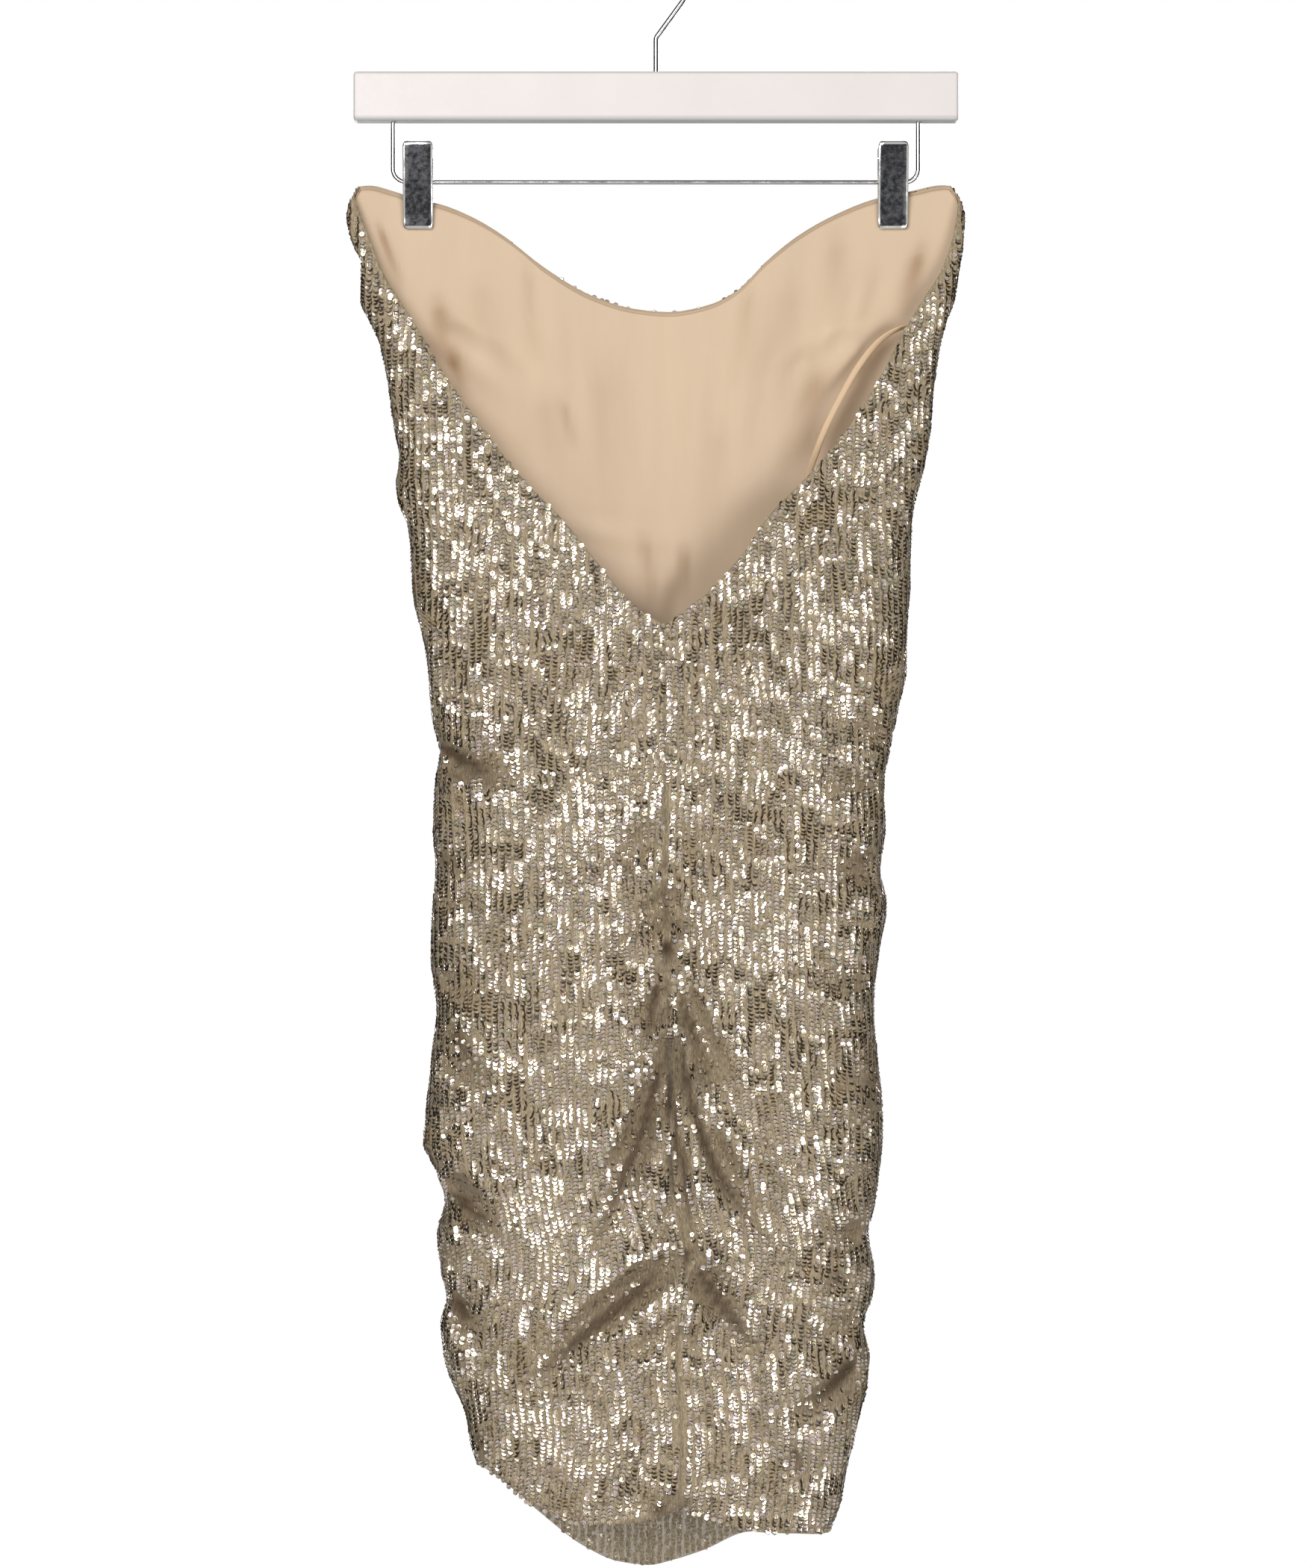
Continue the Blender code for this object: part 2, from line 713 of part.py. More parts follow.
def front_lining(turn, drop):
    """The lining, made from the inner points of the front bodice, moved inwards."""
    _, inner, normal = wall_faces(turn, drop)
    face = with_midpoints(inner)
    normal = with_midpoints(normal)
    normal /= np.linalg.norm(normal, axis=-1, keepdims=True)
    down = face[1] - face[0]
    down /= np.linalg.norm(down, axis=-1, keepdims=True)
    face[0] += LINING_STEP * down
    inset = lining_inset(face[..., 0], with_midpoints(drop))
    outer = face - inset[..., None] * normal + np.array((0, SEAM_GAP / 2, 0))
    solid_from_faces("lining_front", outer, outer - LINING_WALL * normal, "lining")


def curve_through(points, count):
    """Points read evenly from a smooth curve through a short list of points."""
    points = np.array(points, float)
    ends = [2 * points[0] - points[1], 2 * points[-1] - points[-2]]
    padded = np.vstack([ends[0], points, ends[1]])
    made = []
    for place in np.linspace(0, len(points) - 1 - 1e-9, count):
        k = int(place)
        t = place - k
        a, b, c, d = padded[k : k + 4]
        made.append(
            0.5
            * (
                2 * b
                + (c - a) * t
                + (2 * a - 5 * b + 4 * c - d) * t**2
                + (3 * b - a - 3 * c + d) * t**3
            )
        )
    return np.array(made)


def hanging_loop():
    """The ribbon loop inside the dress: a flat strip along its path."""
    ends = [
        (smooth(OUTLINE, drop, 2) - WALL - LOOP_SEAT, LOOP_END_Y, drop, 80)
        for drop in LOOP_ENDS
    ]
    path = curve_through([ends[0], *LOOP_PATH, ends[1]], LOOP_POINTS)
    points = np.stack([path[:, 0], path[:, 1], DRESS_TOP - path[:, 2]], axis=1)
    along = np.gradient(points, axis=0)
    along /= np.linalg.norm(along, axis=1, keepdims=True)
    twist = np.radians(path[:, 3])[:, None]
    to_viewer = np.array((0, -1, 0)) - along * (along @ (0, -1, 0))[:, None]
    to_viewer /= np.linalg.norm(to_viewer, axis=1, keepdims=True)
    sideways = np.cross(along, to_viewer)
    across = sideways * np.cos(twist) + to_viewer * np.sin(twist)
    facing = np.cross(along, across)
    half = across * LOOP_WIDTH / 2
    outer = np.stack([points - half, points + half], axis=1)
    inner = outer + facing[:, None, :] * LOOP_THICKNESS
    solid_from_faces("hanging_loop", outer, inner, "ribbon")


def wire(name, points, diameter, sides):
    """A round wire through a list of points in millimetres."""
    curve = bpy.data.curves.new(name, "CURVE")
    curve.dimensions = "3D"
    curve.bevel_depth = diameter / 2 * MM
    curve.bevel_resolution = sides
    curve.use_fill_caps = True
    spline = curve.splines.new("POLY")
    spline.points.add(len(points) - 1)
    for knot, (x, y, z) in zip(spline.points, points):
        knot.co = (x * MM, y * MM, z * MM, 1)
    curve.materials.append(material("chrome"))
    made = bpy.data.objects.new(name, curve)
    bpy.context.scene.collection.objects.link(made)
    return made


def arc(centre_x, centre_z, radius, start, end, count):
    """Points along an arc in the plane of the hanger, angles in degrees."""
    angles = np.radians(np.linspace(start, end, count))
    return [
        (centre_x + radius * math.cos(a), 0.0, centre_z + radius * math.sin(a))
        for a in angles
    ]


def hook():
    """Up out of the bar, out to the right, and round over the rail to the left."""
    centre_z = BAR_TOP + HOOK_RISE
    bend_z = BAR_TOP + HOOK_SHANK
    # The straight stretch leaves the bend and meets the round part without a kink.
    lean = math.degrees(math.asin(HOOK_RADIUS / (centre_z - bend_z)))
    straight = HOOK_BEND * math.tan(math.radians(lean / 2))
    points = [(0, 0, BAR_TOP - HOOK_DEPTH), (0, 0, BAR_TOP), (0, 0, bend_z - straight)]
    points += arc(HOOK_BEND, bend_z - straight, HOOK_BEND, 180, 180 - lean, 5)[1:]
    points += arc(0, centre_z, HOOK_RADIUS, -lean, HOOK_END_ANGLE, 26)
    return wire("hanger_hook", points, HOOK_WIRE, 2)


def frame_wire():
    """The trouser wire: down from the bar, along, and up to the bar again."""
    level = DRESS_TOP - FRAME_DROP
    top = BAR_TOP - BAR_HEIGHT + FRAME_DEPTH
    points = [(FRAME_LEFT, 0, top), (FRAME_LEFT, 0, BAR_TOP - BAR_HEIGHT)]
    corner = level + FRAME_BEND
    points += arc(FRAME_LEFT + FRAME_BEND, corner, FRAME_BEND, 180, 270, 7)
    points += [(x, 0, level) for x in np.linspace(-110, 110, 5)]
    points += arc(FRAME_RIGHT - FRAME_BEND, corner, FRAME_BEND, 270, 360, 7)
    points += [(FRAME_RIGHT, 0, BAR_TOP - BAR_HEIGHT), (FRAME_RIGHT, 0, top)]
    return wire("hanger_wire", points, FRAME_WIRE, 2)


def box_mesh(size, centre):
    shape = bmesh.new()
    bmesh.ops.create_cube(shape, size=1)
    bmesh.ops.scale(shape, vec=np.array(size) * MM, verts=shape.verts)
    bmesh.ops.translate(shape, vec=np.array(centre) * MM, verts=shape.verts)
    return shape


def rod_mesh(radius, length, centre, axis):
    shape = bmesh.new()
    bmesh.ops.create_cone(
        shape,
        cap_ends=True,
        segments=16,
        radius1=radius * MM,
        radius2=radius * MM,
        depth=length * MM,
    )
    if axis == "X":
        turned = [(v, (v.co.z, v.co.y, -v.co.x)) for v in shape.verts]
        for vert, place in turned:
            vert.co = place
    bmesh.ops.translate(shape, vec=np.array(centre) * MM, verts=shape.verts)
    return shape


def helper(name, shape):
    """A cutter or a piece to be joined: it shapes its neighbour and isn't a part."""
    made = finished(name, shape, "chrome", smooth_shaded=False)
    made.hide_render = True
    made.display_type = "WIRE"
    return made


def boolean(target, other, operation):
    change = target.modifiers.new(other.name, "BOOLEAN")
    change.operation = operation
    change.object = other
    change.solver = "EXACT"


def bar():
    """The white wooden bar, drilled for the hook and for both ends of the wire."""
    shape = box_mesh(
        (BAR_LENGTH, BAR_THICKNESS, BAR_HEIGHT), (0, 0, BAR_TOP - BAR_HEIGHT / 2)
    )
    bmesh.ops.bevel(
        shape,
        geom=shape.edges[:],
        offset=BAR_ROUNDING * MM,
        segments=3,
        profile=0.5,
        material=-1,
        affect="EDGES",
    )
    made = finished("hanger_bar", shape, "white_wood")
    holes = {
        "hook_hole": (0, BAR_TOP, HOOK_DEPTH, HOOK_WIRE),
        "wire_hole_left": (FRAME_LEFT, BAR_TOP - BAR_HEIGHT, FRAME_DEPTH, FRAME_WIRE),
        "wire_hole_right": (FRAME_RIGHT, BAR_TOP - BAR_HEIGHT, FRAME_DEPTH, FRAME_WIRE),
    }
    for name, (x, face_z, depth, diameter) in holes.items():
        inwards = -1 if name == "hook_hole" else 1
        length = depth + SEAM_GAP + HOLE_OVERRUN
        middle = face_z + inwards * (length / 2 - HOLE_OVERRUN)
        radius = diameter / 2 + WIRE_CLEARANCE
        cutter = helper(name, rod_mesh(radius, length, (x, 0, middle), "Z"))
        boolean(made, cutter, "DIFFERENCE")
    return made


def jaw_profile(facing):
    """Side view of a jaw's plate: y and drop down its outer side and back up.

    The plate leans from the thumb end, past the wire, to the tip at the cloth.
    """
    tip = CLIP_PLATE + (OUTER_JAW_FACE if facing > 0 else INNER_JAW_FACE)
    outline = (
        # distance from the middle plane, drop
        (JAW_THUMB, CLIP_TOP),
        (JAW_WAIST, FRAME_DROP),
        (tip + JAW_FLARE, CLIP_BOTTOM - JAW_BEND),
        (tip, CLIP_BOTTOM),
    )
    outer = [(facing * y, drop) for y, drop in outline]
    inner = [(facing * (y - CLIP_PLATE), drop) for y, drop in outline]
    return outer, inner


def jaw(name, x, facing, cheek_offset):
    """One jaw of a clip: a leaning plate, with two cheeks that the wire runs through."""
    outer, inner = jaw_profile(facing)
    shape = bmesh.new()
    half = CLIP_WIDTH / 2
    left, right = (
        [
            shape.verts.new(np.array((x + side, y, DRESS_TOP - drop)) * MM)
            for y, drop in outer + inner[::-1]
        ]
        for side in (-half, half)
    )
    count = len(left)
    for k in range(count):
        following = (k + 1) % count
        shape.faces.new((left[k], left[following], right[following], right[k]))
    for k in range(len(outer) - 1):
        across, beside = count - 1 - k, count - 2 - k
        shape.faces.new((left[k], left[across], left[beside], left[k + 1]))
        shape.faces.new((right[k], right[k + 1], right[beside], right[across]))
    bmesh.ops.recalc_face_normals(shape, faces=shape.faces)
    made = finished(name, shape, "chrome", smooth_shaded=False)
    level = DRESS_TOP - FRAME_DROP
    depth = CHEEK_ROOT + CHEEK_REACH
    for side in (-1, 1):
        middle_y = facing * (CHEEK_ROOT - CHEEK_REACH) / 2
        centre = (x + side * cheek_offset, middle_y, level)
        cheek = box_mesh((CHEEK_WALL, depth, CHEEK_HEIGHT), centre)
        boolean(made, helper(f"{name}_cheek_{side}", cheek), "UNION")
    radius = FRAME_WIRE / 2 + CLIP_CLEARANCE
    hole = rod_mesh(radius, CLIP_WIDTH * 2, (x, 0, level), "X")
    boolean(made, helper(f"{name}_hole", hole), "DIFFERENCE")
    return made


def spring(name, x, length):
    """The clip's coil spring as a plain sleeve round the wire."""
    level = DRESS_TOP - FRAME_DROP
    made = finished(
        name, rod_mesh(SPRING_RADIUS, length, (x, 0, level), "X"), "chrome"
    )
    radius = FRAME_WIRE / 2 + CLIP_CLEARANCE
    hole = rod_mesh(radius, length * 2, (x, 0, level), "X")
    boolean(made, helper(f"{name}_hole", hole), "DIFFERENCE")
    return made


def clips():
    outer_cheek = CLIP_WIDTH / 2 - CHEEK_WALL / 2
    inner_cheek = outer_cheek - CHEEK_WALL - SEAM_GAP
    spring_length = 2 * (inner_cheek - CHEEK_WALL / 2 - SEAM_GAP)
    for side, x in (("left", CLIP_LEFT), ("right", CLIP_RIGHT)):
        jaw(f"clip_{side}_inner_jaw", x, -1, outer_cheek)
        jaw(f"clip_{side}_outer_jaw", x, 1, inner_cheek)
        spring(f"clip_{side}_spring", x, spring_length)


def main():
    for old in list(bpy.data.objects):
        bpy.data.objects.remove(old)
    front_panels()
    back_panels("left", FULL_TURN, below_left_edge, JUNCTION_LEFT, -1)
    back_panels("right", HALF_TURN, below_right_edge, JUNCTION_RIGHT, 1)
    hanging_loop()
    bar()
    hook()
    frame_wire()
    clips()


main()
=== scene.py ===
# %% [markdown]
# # A strapless sequin dress on a clip hanger
#
# The dress hangs by its top edge from two clips under a white bar, and we look at its
# low back. Its cloth is a fine beige net, closely sewn with small cupped sequins in
# upright rows, and a plain satin lining shows inside the low back. The CAD model gives
# every piece its size and place. This script gives each one its finer form and its
# finish, in metres and in the CAD model's own frame, so nothing has to be fitted.

# %% Load the frame
import math

import bmesh
import bpy
import numpy as np
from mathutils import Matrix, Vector


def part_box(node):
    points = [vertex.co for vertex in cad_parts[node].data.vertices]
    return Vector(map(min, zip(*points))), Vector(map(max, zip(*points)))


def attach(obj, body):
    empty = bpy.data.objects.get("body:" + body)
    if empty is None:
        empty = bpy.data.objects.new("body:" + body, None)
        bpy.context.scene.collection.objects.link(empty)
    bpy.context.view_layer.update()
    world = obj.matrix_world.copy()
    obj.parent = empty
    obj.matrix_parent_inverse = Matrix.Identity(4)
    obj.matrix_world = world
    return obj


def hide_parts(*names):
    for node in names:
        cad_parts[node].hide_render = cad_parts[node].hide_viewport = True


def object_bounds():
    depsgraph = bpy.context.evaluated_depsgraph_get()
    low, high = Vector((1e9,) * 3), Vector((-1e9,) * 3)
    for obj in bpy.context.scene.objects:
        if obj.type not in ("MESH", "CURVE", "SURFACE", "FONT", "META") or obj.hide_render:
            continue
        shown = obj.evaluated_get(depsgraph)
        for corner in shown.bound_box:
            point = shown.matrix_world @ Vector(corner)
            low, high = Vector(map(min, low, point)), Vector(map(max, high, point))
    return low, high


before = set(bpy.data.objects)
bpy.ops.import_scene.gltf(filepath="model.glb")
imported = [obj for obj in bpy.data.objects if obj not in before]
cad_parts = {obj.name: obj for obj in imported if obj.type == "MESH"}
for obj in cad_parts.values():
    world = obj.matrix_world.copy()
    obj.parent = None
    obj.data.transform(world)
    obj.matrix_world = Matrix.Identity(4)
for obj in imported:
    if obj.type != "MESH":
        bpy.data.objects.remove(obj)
CAD_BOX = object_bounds()
BODY = "root"
MM = 0.001
FULL_TURN = 2 * math.pi
HALF_TURN = math.pi
chance = np.random.default_rng(20)
scene = bpy.context.scene
print("CAD nodes:", len(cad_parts))

# %% [markdown]
# ## The camera
#
# The picture was taken from straight behind the dress, at its middle height, by a
# camera a few metres away. The lens follows from three sizes: the distance, the real
# size of one pixel at the dress, and the height of the picture.

# %% Camera
IMAGE_HEIGHT = 2100  # pixels
PIXEL = 0.47 * MM  # one pixel of the picture, measured at the dress
CAMERA_DISTANCE = 2.6
IMAGE_CENTRE = Vector((0, 0, -0.522))
SENSOR_HEIGHT = 24

camera_data = bpy.data.cameras.new("camera")
camera_data.sensor_fit = "VERTICAL"
camera_data.sensor_height = SENSOR_HEIGHT
camera_data.lens = SENSOR_HEIGHT * CAMERA_DISTANCE / (IMAGE_HEIGHT * PIXEL)
camera = bpy.data.objects.new("camera", camera_data)
camera.location = IMAGE_CENTRE + Vector((0, -CAMERA_DISTANCE, 0))
camera.rotation_euler = (math.radians(90), 0, 0)
scene.collection.objects.link(camera)
scene.camera = camera
print("lens:", round(camera_data.lens, 1), "mm")

# %% [markdown]
# ## The form of the dress
#
# The dress is a flattened tube. The CAD model was made from the tables below, and the
# same tables are read again here, so that the thin net and the sequins keep to the
# solids they stand for. A point of the cloth is found from its turn, the angle round
# the tube, and its drop, the height below the top of the dress in millimetres.
# The turn is 0 at the left side seam and half a turn at the right one, and the front
# of the dress lies between them.

# %% Sizes of the cloth and of its seams
WALL = 1.3  # the solid's wall, in millimetres
LINING_WALL = 1.0
SEAM_GAP = 0.3
BAR_TOP = -74.4
DRESS_TOP = -144.9
LINING_STEP = 1.2
LINING_FREE_FROM = 26.0
LINING_FREE_RUN = 50.0
LINING_SLACK = 0.8
LINING_MAX_RIDGE = 6.0
V_POINT_DROP = 278.0
UNDERARM_DROP = 6.0
JUNCTION_LEFT = -104.0
JUNCTION_RIGHT = 112.0
CENTRE_X = 6.0
WING_TIP = 2.0
NECK_SPAN = (-1.0, 100.0)
V_SPAN = (0.0, V_POINT_DROP)
WING_SPAN = (120.0, 220.0)
WAIST_SPAN = (290.0, 400.0)
HEM_SPAN = (780.0, 879.0)
GATHER_PITCH = 34.0
GATHER_HEIGHT = 2.2
GATHER_REACH = 26.0
GATHER_FROM = 338.0
GATHER_TO = 770.0
FOLD_MARGIN = 10.0
BOW_STEPS = 12
HALVINGS = 40
FOLD_NARROW = 0.75
FOLD_WIDE = 1.35
FOLD_FADE = 1.6
FOLD_START = 0.35
FOLD_GROWN = 0.2
FOLD_LIMIT = 9.0
FOLD_REACH = 3.2  # a fold moves nothing further off than this many of its widths

# %% The outline from the back, and the depth from the side
OUTLINE = (
    # drop, left, right
    (0, -187, 185),
    (10, -192, 191.5),
    (20, -194.5, 193.5),
    (36, -191, 193),
    (52, -185, 190.5),
    (74, -185.5, 187),
    (88, -179, 182),
    (104, -172.5, 178),
    (130, -167.5, 174.5),
    (158, -163.5, 172),
    (172, -161, 169.5),
    (190, -163, 165),
    (202, -161, 162),
    (216, -155.5, 160.5),
    (262, -151.8, 159),
    (285, -146.5, 157.5),
    (306, -143, 157),
    (337, -140.5, 150.5),
    (358, -136, 146.5),
    (376, -138.5, 143.5),
    (403, -140, 144),
    (431, -138.5, 141),
    (452, -140.3, 145),
    (487, -141.5, 139.6),
    (516, -137.7, 137),
    (546, -140.8, 139),
    (585, -144.5, 142.4),
    (602, -146.2, 142.3),
    (620, -138, 140.5),
    (638, -132.5, 138),
    (659, -137.3, 133.4),
    (684, -134.8, 137.3),
    (699, -131.6, 135.8),
    (716, -135.2, 130.5),
    (736, -133.2, 133.8),
    (752, -128.4, 133.3),
    (772, -119.5, 128.4),
    (790, -116.5, 124.3),
    (807, -111.5, 120),
    (830, -106, 115.5),
    (850, -101, 108),
    (880, -95, 101),
)
DEPTH = (
    # drop, front, back, seam, squareness
    (0, 1.7, -9, -3.5, 8),
    (36, 1.7, -13, -4.5, 8),
    (75, 4, -19, -6, 5),
    (130, 10, -26, -8, 3.6),
    (200, 18, -32, -8, 3.0),
    (280, 25, -36, -6, 2.7),
    (340, 28, -36, -5, 2.6),
    (420, 31, -40, -4, 2.5),
    (560, 33, -45, -4, 2.4),
    (700, 31, -43, -4, 2.4),
    (800, 28, -38, -4, 2.5),
    (880, 26, -36, -4, 2.5),
)

# %% The open edges
NECKLINE = (
    # x, drop
    (-194, 8),
    (-188, 1.2),
    (-180, 0.4),
    (-165, 4),
    (-150, 9),
    (-136, 12),
    (-117, 19.5),
    (-98, 30.5),
    (-70, 52),
    (-40, 69.5),
    (-14, 77.5),
    (8, 79.5),
    (32, 75.5),
    (50, 67),
    (71, 46.5),
    (90, 31.5),
    (109, 20.5),
    (137, 9),
    (160, 4),
    (180, 0.2),
    (187, 1.0),
    (194, 8),
)
V_EDGES = (
    # drop, left, right
    (0, -192, 191.5),
    (8, -189.5, 190.5),
    (35, -180, 186),
    (55, -172, 179),
    (75, -160, 166.5),
    (95, -147.5, 154.5),
    (120, -133, 141.5),
    (140, -119, 130),
    (165, -101, 112.5),
    (190, -80.5, 90),
    (210, -60.5, 70.5),
    (235, -40, 53),
    (255, -24, 35.5),
    (270, -9, 18),
    (278, 5.2, 5.8),
)
HEM = (
    # x, drop at the back, drop at the front
    (-130, 801, 801),
    (-111, 804, 806),
    (-75, 828, 838),
    (-46, 837, 861),
    (-24, 836, 871),
    (-4, 831, 873.5),
    (8, 827, 871),
    (30, 834, 864),
    (58, 842, 852),
    (85, 844, 850),
    (108, 846, 848),
    (130, 846, 848),
)

# %% The seams
CENTRE_BACK = (
    # drop, x
    (270, 6),
    (316, 6),
    (440, 5.5),
    (500, 6.5),
    (560, 8),
    (626, 11.5),
    (671, 19),
    (730, 13),
    (791, 16),
    (840, 13),
)
WAIST_SEAM = (
    # x, drop at the back, drop at the front
    (-160, 337, 337),
    (-110, 339, 334),
    (-60, 335, 330),
    (6, 316, 326),
    (60, 318, 328),
    (110, 325, 331),
    (160, 332, 332),
)
WING_SEAM = (
    # x, drop
    (-190, 199),
    (-162, 191),
    (-140, 178),
    (-104, 161),
    (112, 165.5),
    (140, 173),
    (165, 183),
    (190, 190),
)

# %% The folds
BACK_FOLDS = (
    # x and drop at the start, the middle and the end, then depth and width
    (-137, 360, -112, 371, -70, 378, 7.5, 12),
    (-141, 318, -110, 322, -66, 330, 3.0, 13),
    (-140, 448, -118, 458, -80, 450, 4.0, 14),
    (-143, 500, -114, 512, -72, 504, 3.6, 14),
    (-139, 546, -118, 560, -88, 584, 5.0, 13),
    (-131, 622, -112, 646, -86, 668, 8.5, 13),
    (-131, 692, -116, 712, -98, 740, 7.0, 13),
    (-128, 752, -104, 750, -76, 742, 3.6, 14),
    (150, 349, 128, 340, 92, 331, 4.4, 13),
    (143, 376, 120, 380, 84, 374, 5.4, 13),
    (140, 432, 116, 425, 80, 430, 3.6, 14),
    (137, 504, 118, 496, 84, 490, 4.8, 14),
    (138, 560, 112, 566, 78, 560, 3.6, 15),
    (133, 657, 116, 662, 90, 655, 6.0, 13),
    (131, 712, 113, 722, 88, 720, 5.4, 13),
    (129, 742, 104, 762, 70, 786, 7.0, 13),
    (8, 392, -22, 428, -62, 446, 4.6, 14),
    (8, 398, 34, 420, 68, 428, 3.6, 14),
    (8, 446, -14, 474, -46, 496, 5.0, 13),
    (8, 452, 30, 476, 60, 498, 4.4, 13),
    (6, 500, -4, 522, -14, 552, 6.0, 11),
    (7, 540, -8, 600, -46, 668, 9.5, 13),
    (12, 504, 46, 552, 46, 600, 7.0, 12),
    (8, 536, 12, 590, 22, 664, 8.0, 10),
    (28, 584, 42, 624, 78, 668, 8.5, 13),
    (20, 668, -34, 700, -88, 756, 10.0, 14),
    (20, 674, 42, 698, 62, 726, 8.5, 13),
    (13, 826, -4, 822, -22, 830, 4.0, 11),
    (12, 826, 26, 826, 46, 834, 3.4, 11),
)
FRONT_FOLDS = (
    # x and drop at the start, the middle and the end, then depth and width
    (-134, 92, -104, 118, -66, 140, 5.0, 16),
    (136, 96, 100, 118, 62, 136, 5.0, 16),
    (-130, 176, -96, 190, -50, 192, 3.6, 17),
    (132, 172, 96, 192, 52, 196, 3.6, 17),
    (-137, 358, -108, 372, -66, 374, 7.0, 14),
    (143, 374, 112, 366, 72, 370, 6.0, 14),
    (-138, 432, -104, 424, -52, 434, 4.6, 16),
    (141, 430, 104, 446, 56, 446, 4.6, 16),
    (-138, 514, -106, 538, -58, 548, 7.0, 15),
    (137, 516, 108, 500, 58, 508, 6.0, 15),
    (-134, 626, -104, 650, -50, 664, 8.0, 15),
    (134, 660, 104, 638, 52, 640, 7.0, 15),
    (-132, 698, -100, 690, -54, 706, 5.6, 15),
    (131, 716, 104, 738, 62, 750, 6.6, 15),
)
LINING_FOLDS = (
    # x and drop at the start, the middle and the end, then depth and width
    (-176, 24, -168, 46, -156, 74, 2.6, 7),
    (-132, 84, -130, 118, -134, 160, 5.0, 11),
    (-112, 60, -104, 130, -92, 200, 3.0, 12),
    (-66, 74, -64, 140, -58, 230, 3.4, 12),
    (-36, 96, -22, 170, -16, 270, 3.8, 11),
    (6, 240, 0, 262, -2, 310, 4.6, 8),
    (26, 110, 24, 190, 16, 300, 3.4, 11),
    (60, 84, 52, 160, 34, 250, 3.6, 12),
    (98, 96, 84, 150, 58, 214, 4.4, 11),
    (134, 44, 122, 92, 98, 162, 5.0, 11),
    (164, 44, 154, 66, 140, 96, 2.8, 9),
)

# %% [markdown]
# ## Creases
#
# The solids hold the large folds. The small creases between them, which run out from
# the gathered seams and die away in the cloth, are listed here. Each is again
# a bow of three points with a depth and a width, so one function serves them all. The
# middle point pulls the bow towards itself and doesn't lie on it. The front has creases
# of its own, because the same hands gathered it in the same way. The clefts are the
# lines where a deep fold closes on itself. They are pressed in a little and keep few
# sequins, and the net along them is darkened with painted shade.

# %% Creases
BACK_CREASES = (
    # x and drop at the start, the middle and the end, then depth and width
    (-138, 350, -122, 356, -100, 360, 1.6, 5),
    (-139, 384, -124, 392, -104, 398, 1.4, 5),
    (-138, 474, -126, 478, -104, 474, 1.6, 5),
    (-139, 528, -126, 530, -96, 540, 1.5, 5),
    (-143, 585, -124, 594, -100, 612, 1.8, 5),
    (-130, 640, -118, 664, -98, 690, 1.6, 5),
    (-133, 672, -120, 686, -104, 706, 1.5, 5),
    (-131, 724, -112, 732, -84, 726, 1.4, 5),
    (146, 358, 128, 362, 104, 356, 1.5, 5),
    (142, 402, 124, 404, 100, 398, 1.5, 5),
    (139, 468, 122, 462, 98, 464, 1.5, 5),
    (137, 530, 118, 534, 92, 526, 1.4, 5),
    (140, 598, 124, 606, 96, 604, 1.6, 5),
    (134, 634, 118, 634, 96, 628, 1.4, 5),
    (132, 686, 116, 692, 94, 694, 1.4, 5),
    (9, 352, -8, 366, -34, 376, 1.5, 5),
    (9, 356, 26, 368, 50, 374, 1.4, 5),
    (8, 420, -8, 440, -26, 462, 1.6, 5),
    (8, 424, 22, 442, 42, 456, 1.5, 5),
    (7, 478, -6, 500, -28, 526, 1.8, 5),
    (8, 480, 22, 504, 34, 534, 1.8, 5),
    (8, 560, -20, 612, -62, 640, 1.8, 6),
    (9, 572, 2, 616, -12, 662, 1.8, 5),
    (16, 570, 26, 612, 38, 652, 1.6, 5),
    (12, 630, -8, 690, -50, 716, 2.0, 6),
    (17, 656, 36, 684, 76, 700, 1.8, 6),
    (14, 706, -10, 732, -60, 770, 1.6, 6),
    (16, 716, 34, 742, 58, 772, 1.4, 6),
    (-60, 600, -76, 616, -96, 624, 1.2, 6),
    (60, 600, 76, 612, 96, 616, 1.2, 6),
)
FRONT_CREASES = (
    # x and drop at the start, the middle and the end, then depth and width
    (-137, 346, -118, 352, -94, 356, 1.6, 5),
    (-138, 394, -120, 400, -92, 396, 1.5, 5),
    (-139, 470, -122, 474, -96, 482, 1.6, 5),
    (-140, 560, -120, 570, -92, 582, 1.6, 5),
    (-139, 596, -120, 606, -96, 606, 1.4, 5),
    (-131, 662, -116, 672, -92, 680, 1.5, 5),
    (-130, 730, -110, 738, -84, 742, 1.4, 5),
    (147, 352, 126, 350, 98, 346, 1.5, 5),
    (142, 410, 124, 408, 96, 414, 1.5, 5),
    (140, 478, 122, 474, 92, 478, 1.6, 5),
    (139, 552, 122, 560, 94, 566, 1.4, 5),
    (141, 604, 120, 608, 92, 602, 1.5, 5),
    (134, 690, 116, 696, 92, 704, 1.5, 5),
    (131, 744, 112, 752, 84, 760, 1.4, 5),
    (-60, 210, -20, 224, 30, 222, 1.2, 9),
    (-50, 470, -10, 480, 40, 474, 1.4, 10),
    (-44, 600, 0, 612, 44, 604, 1.4, 10),
)

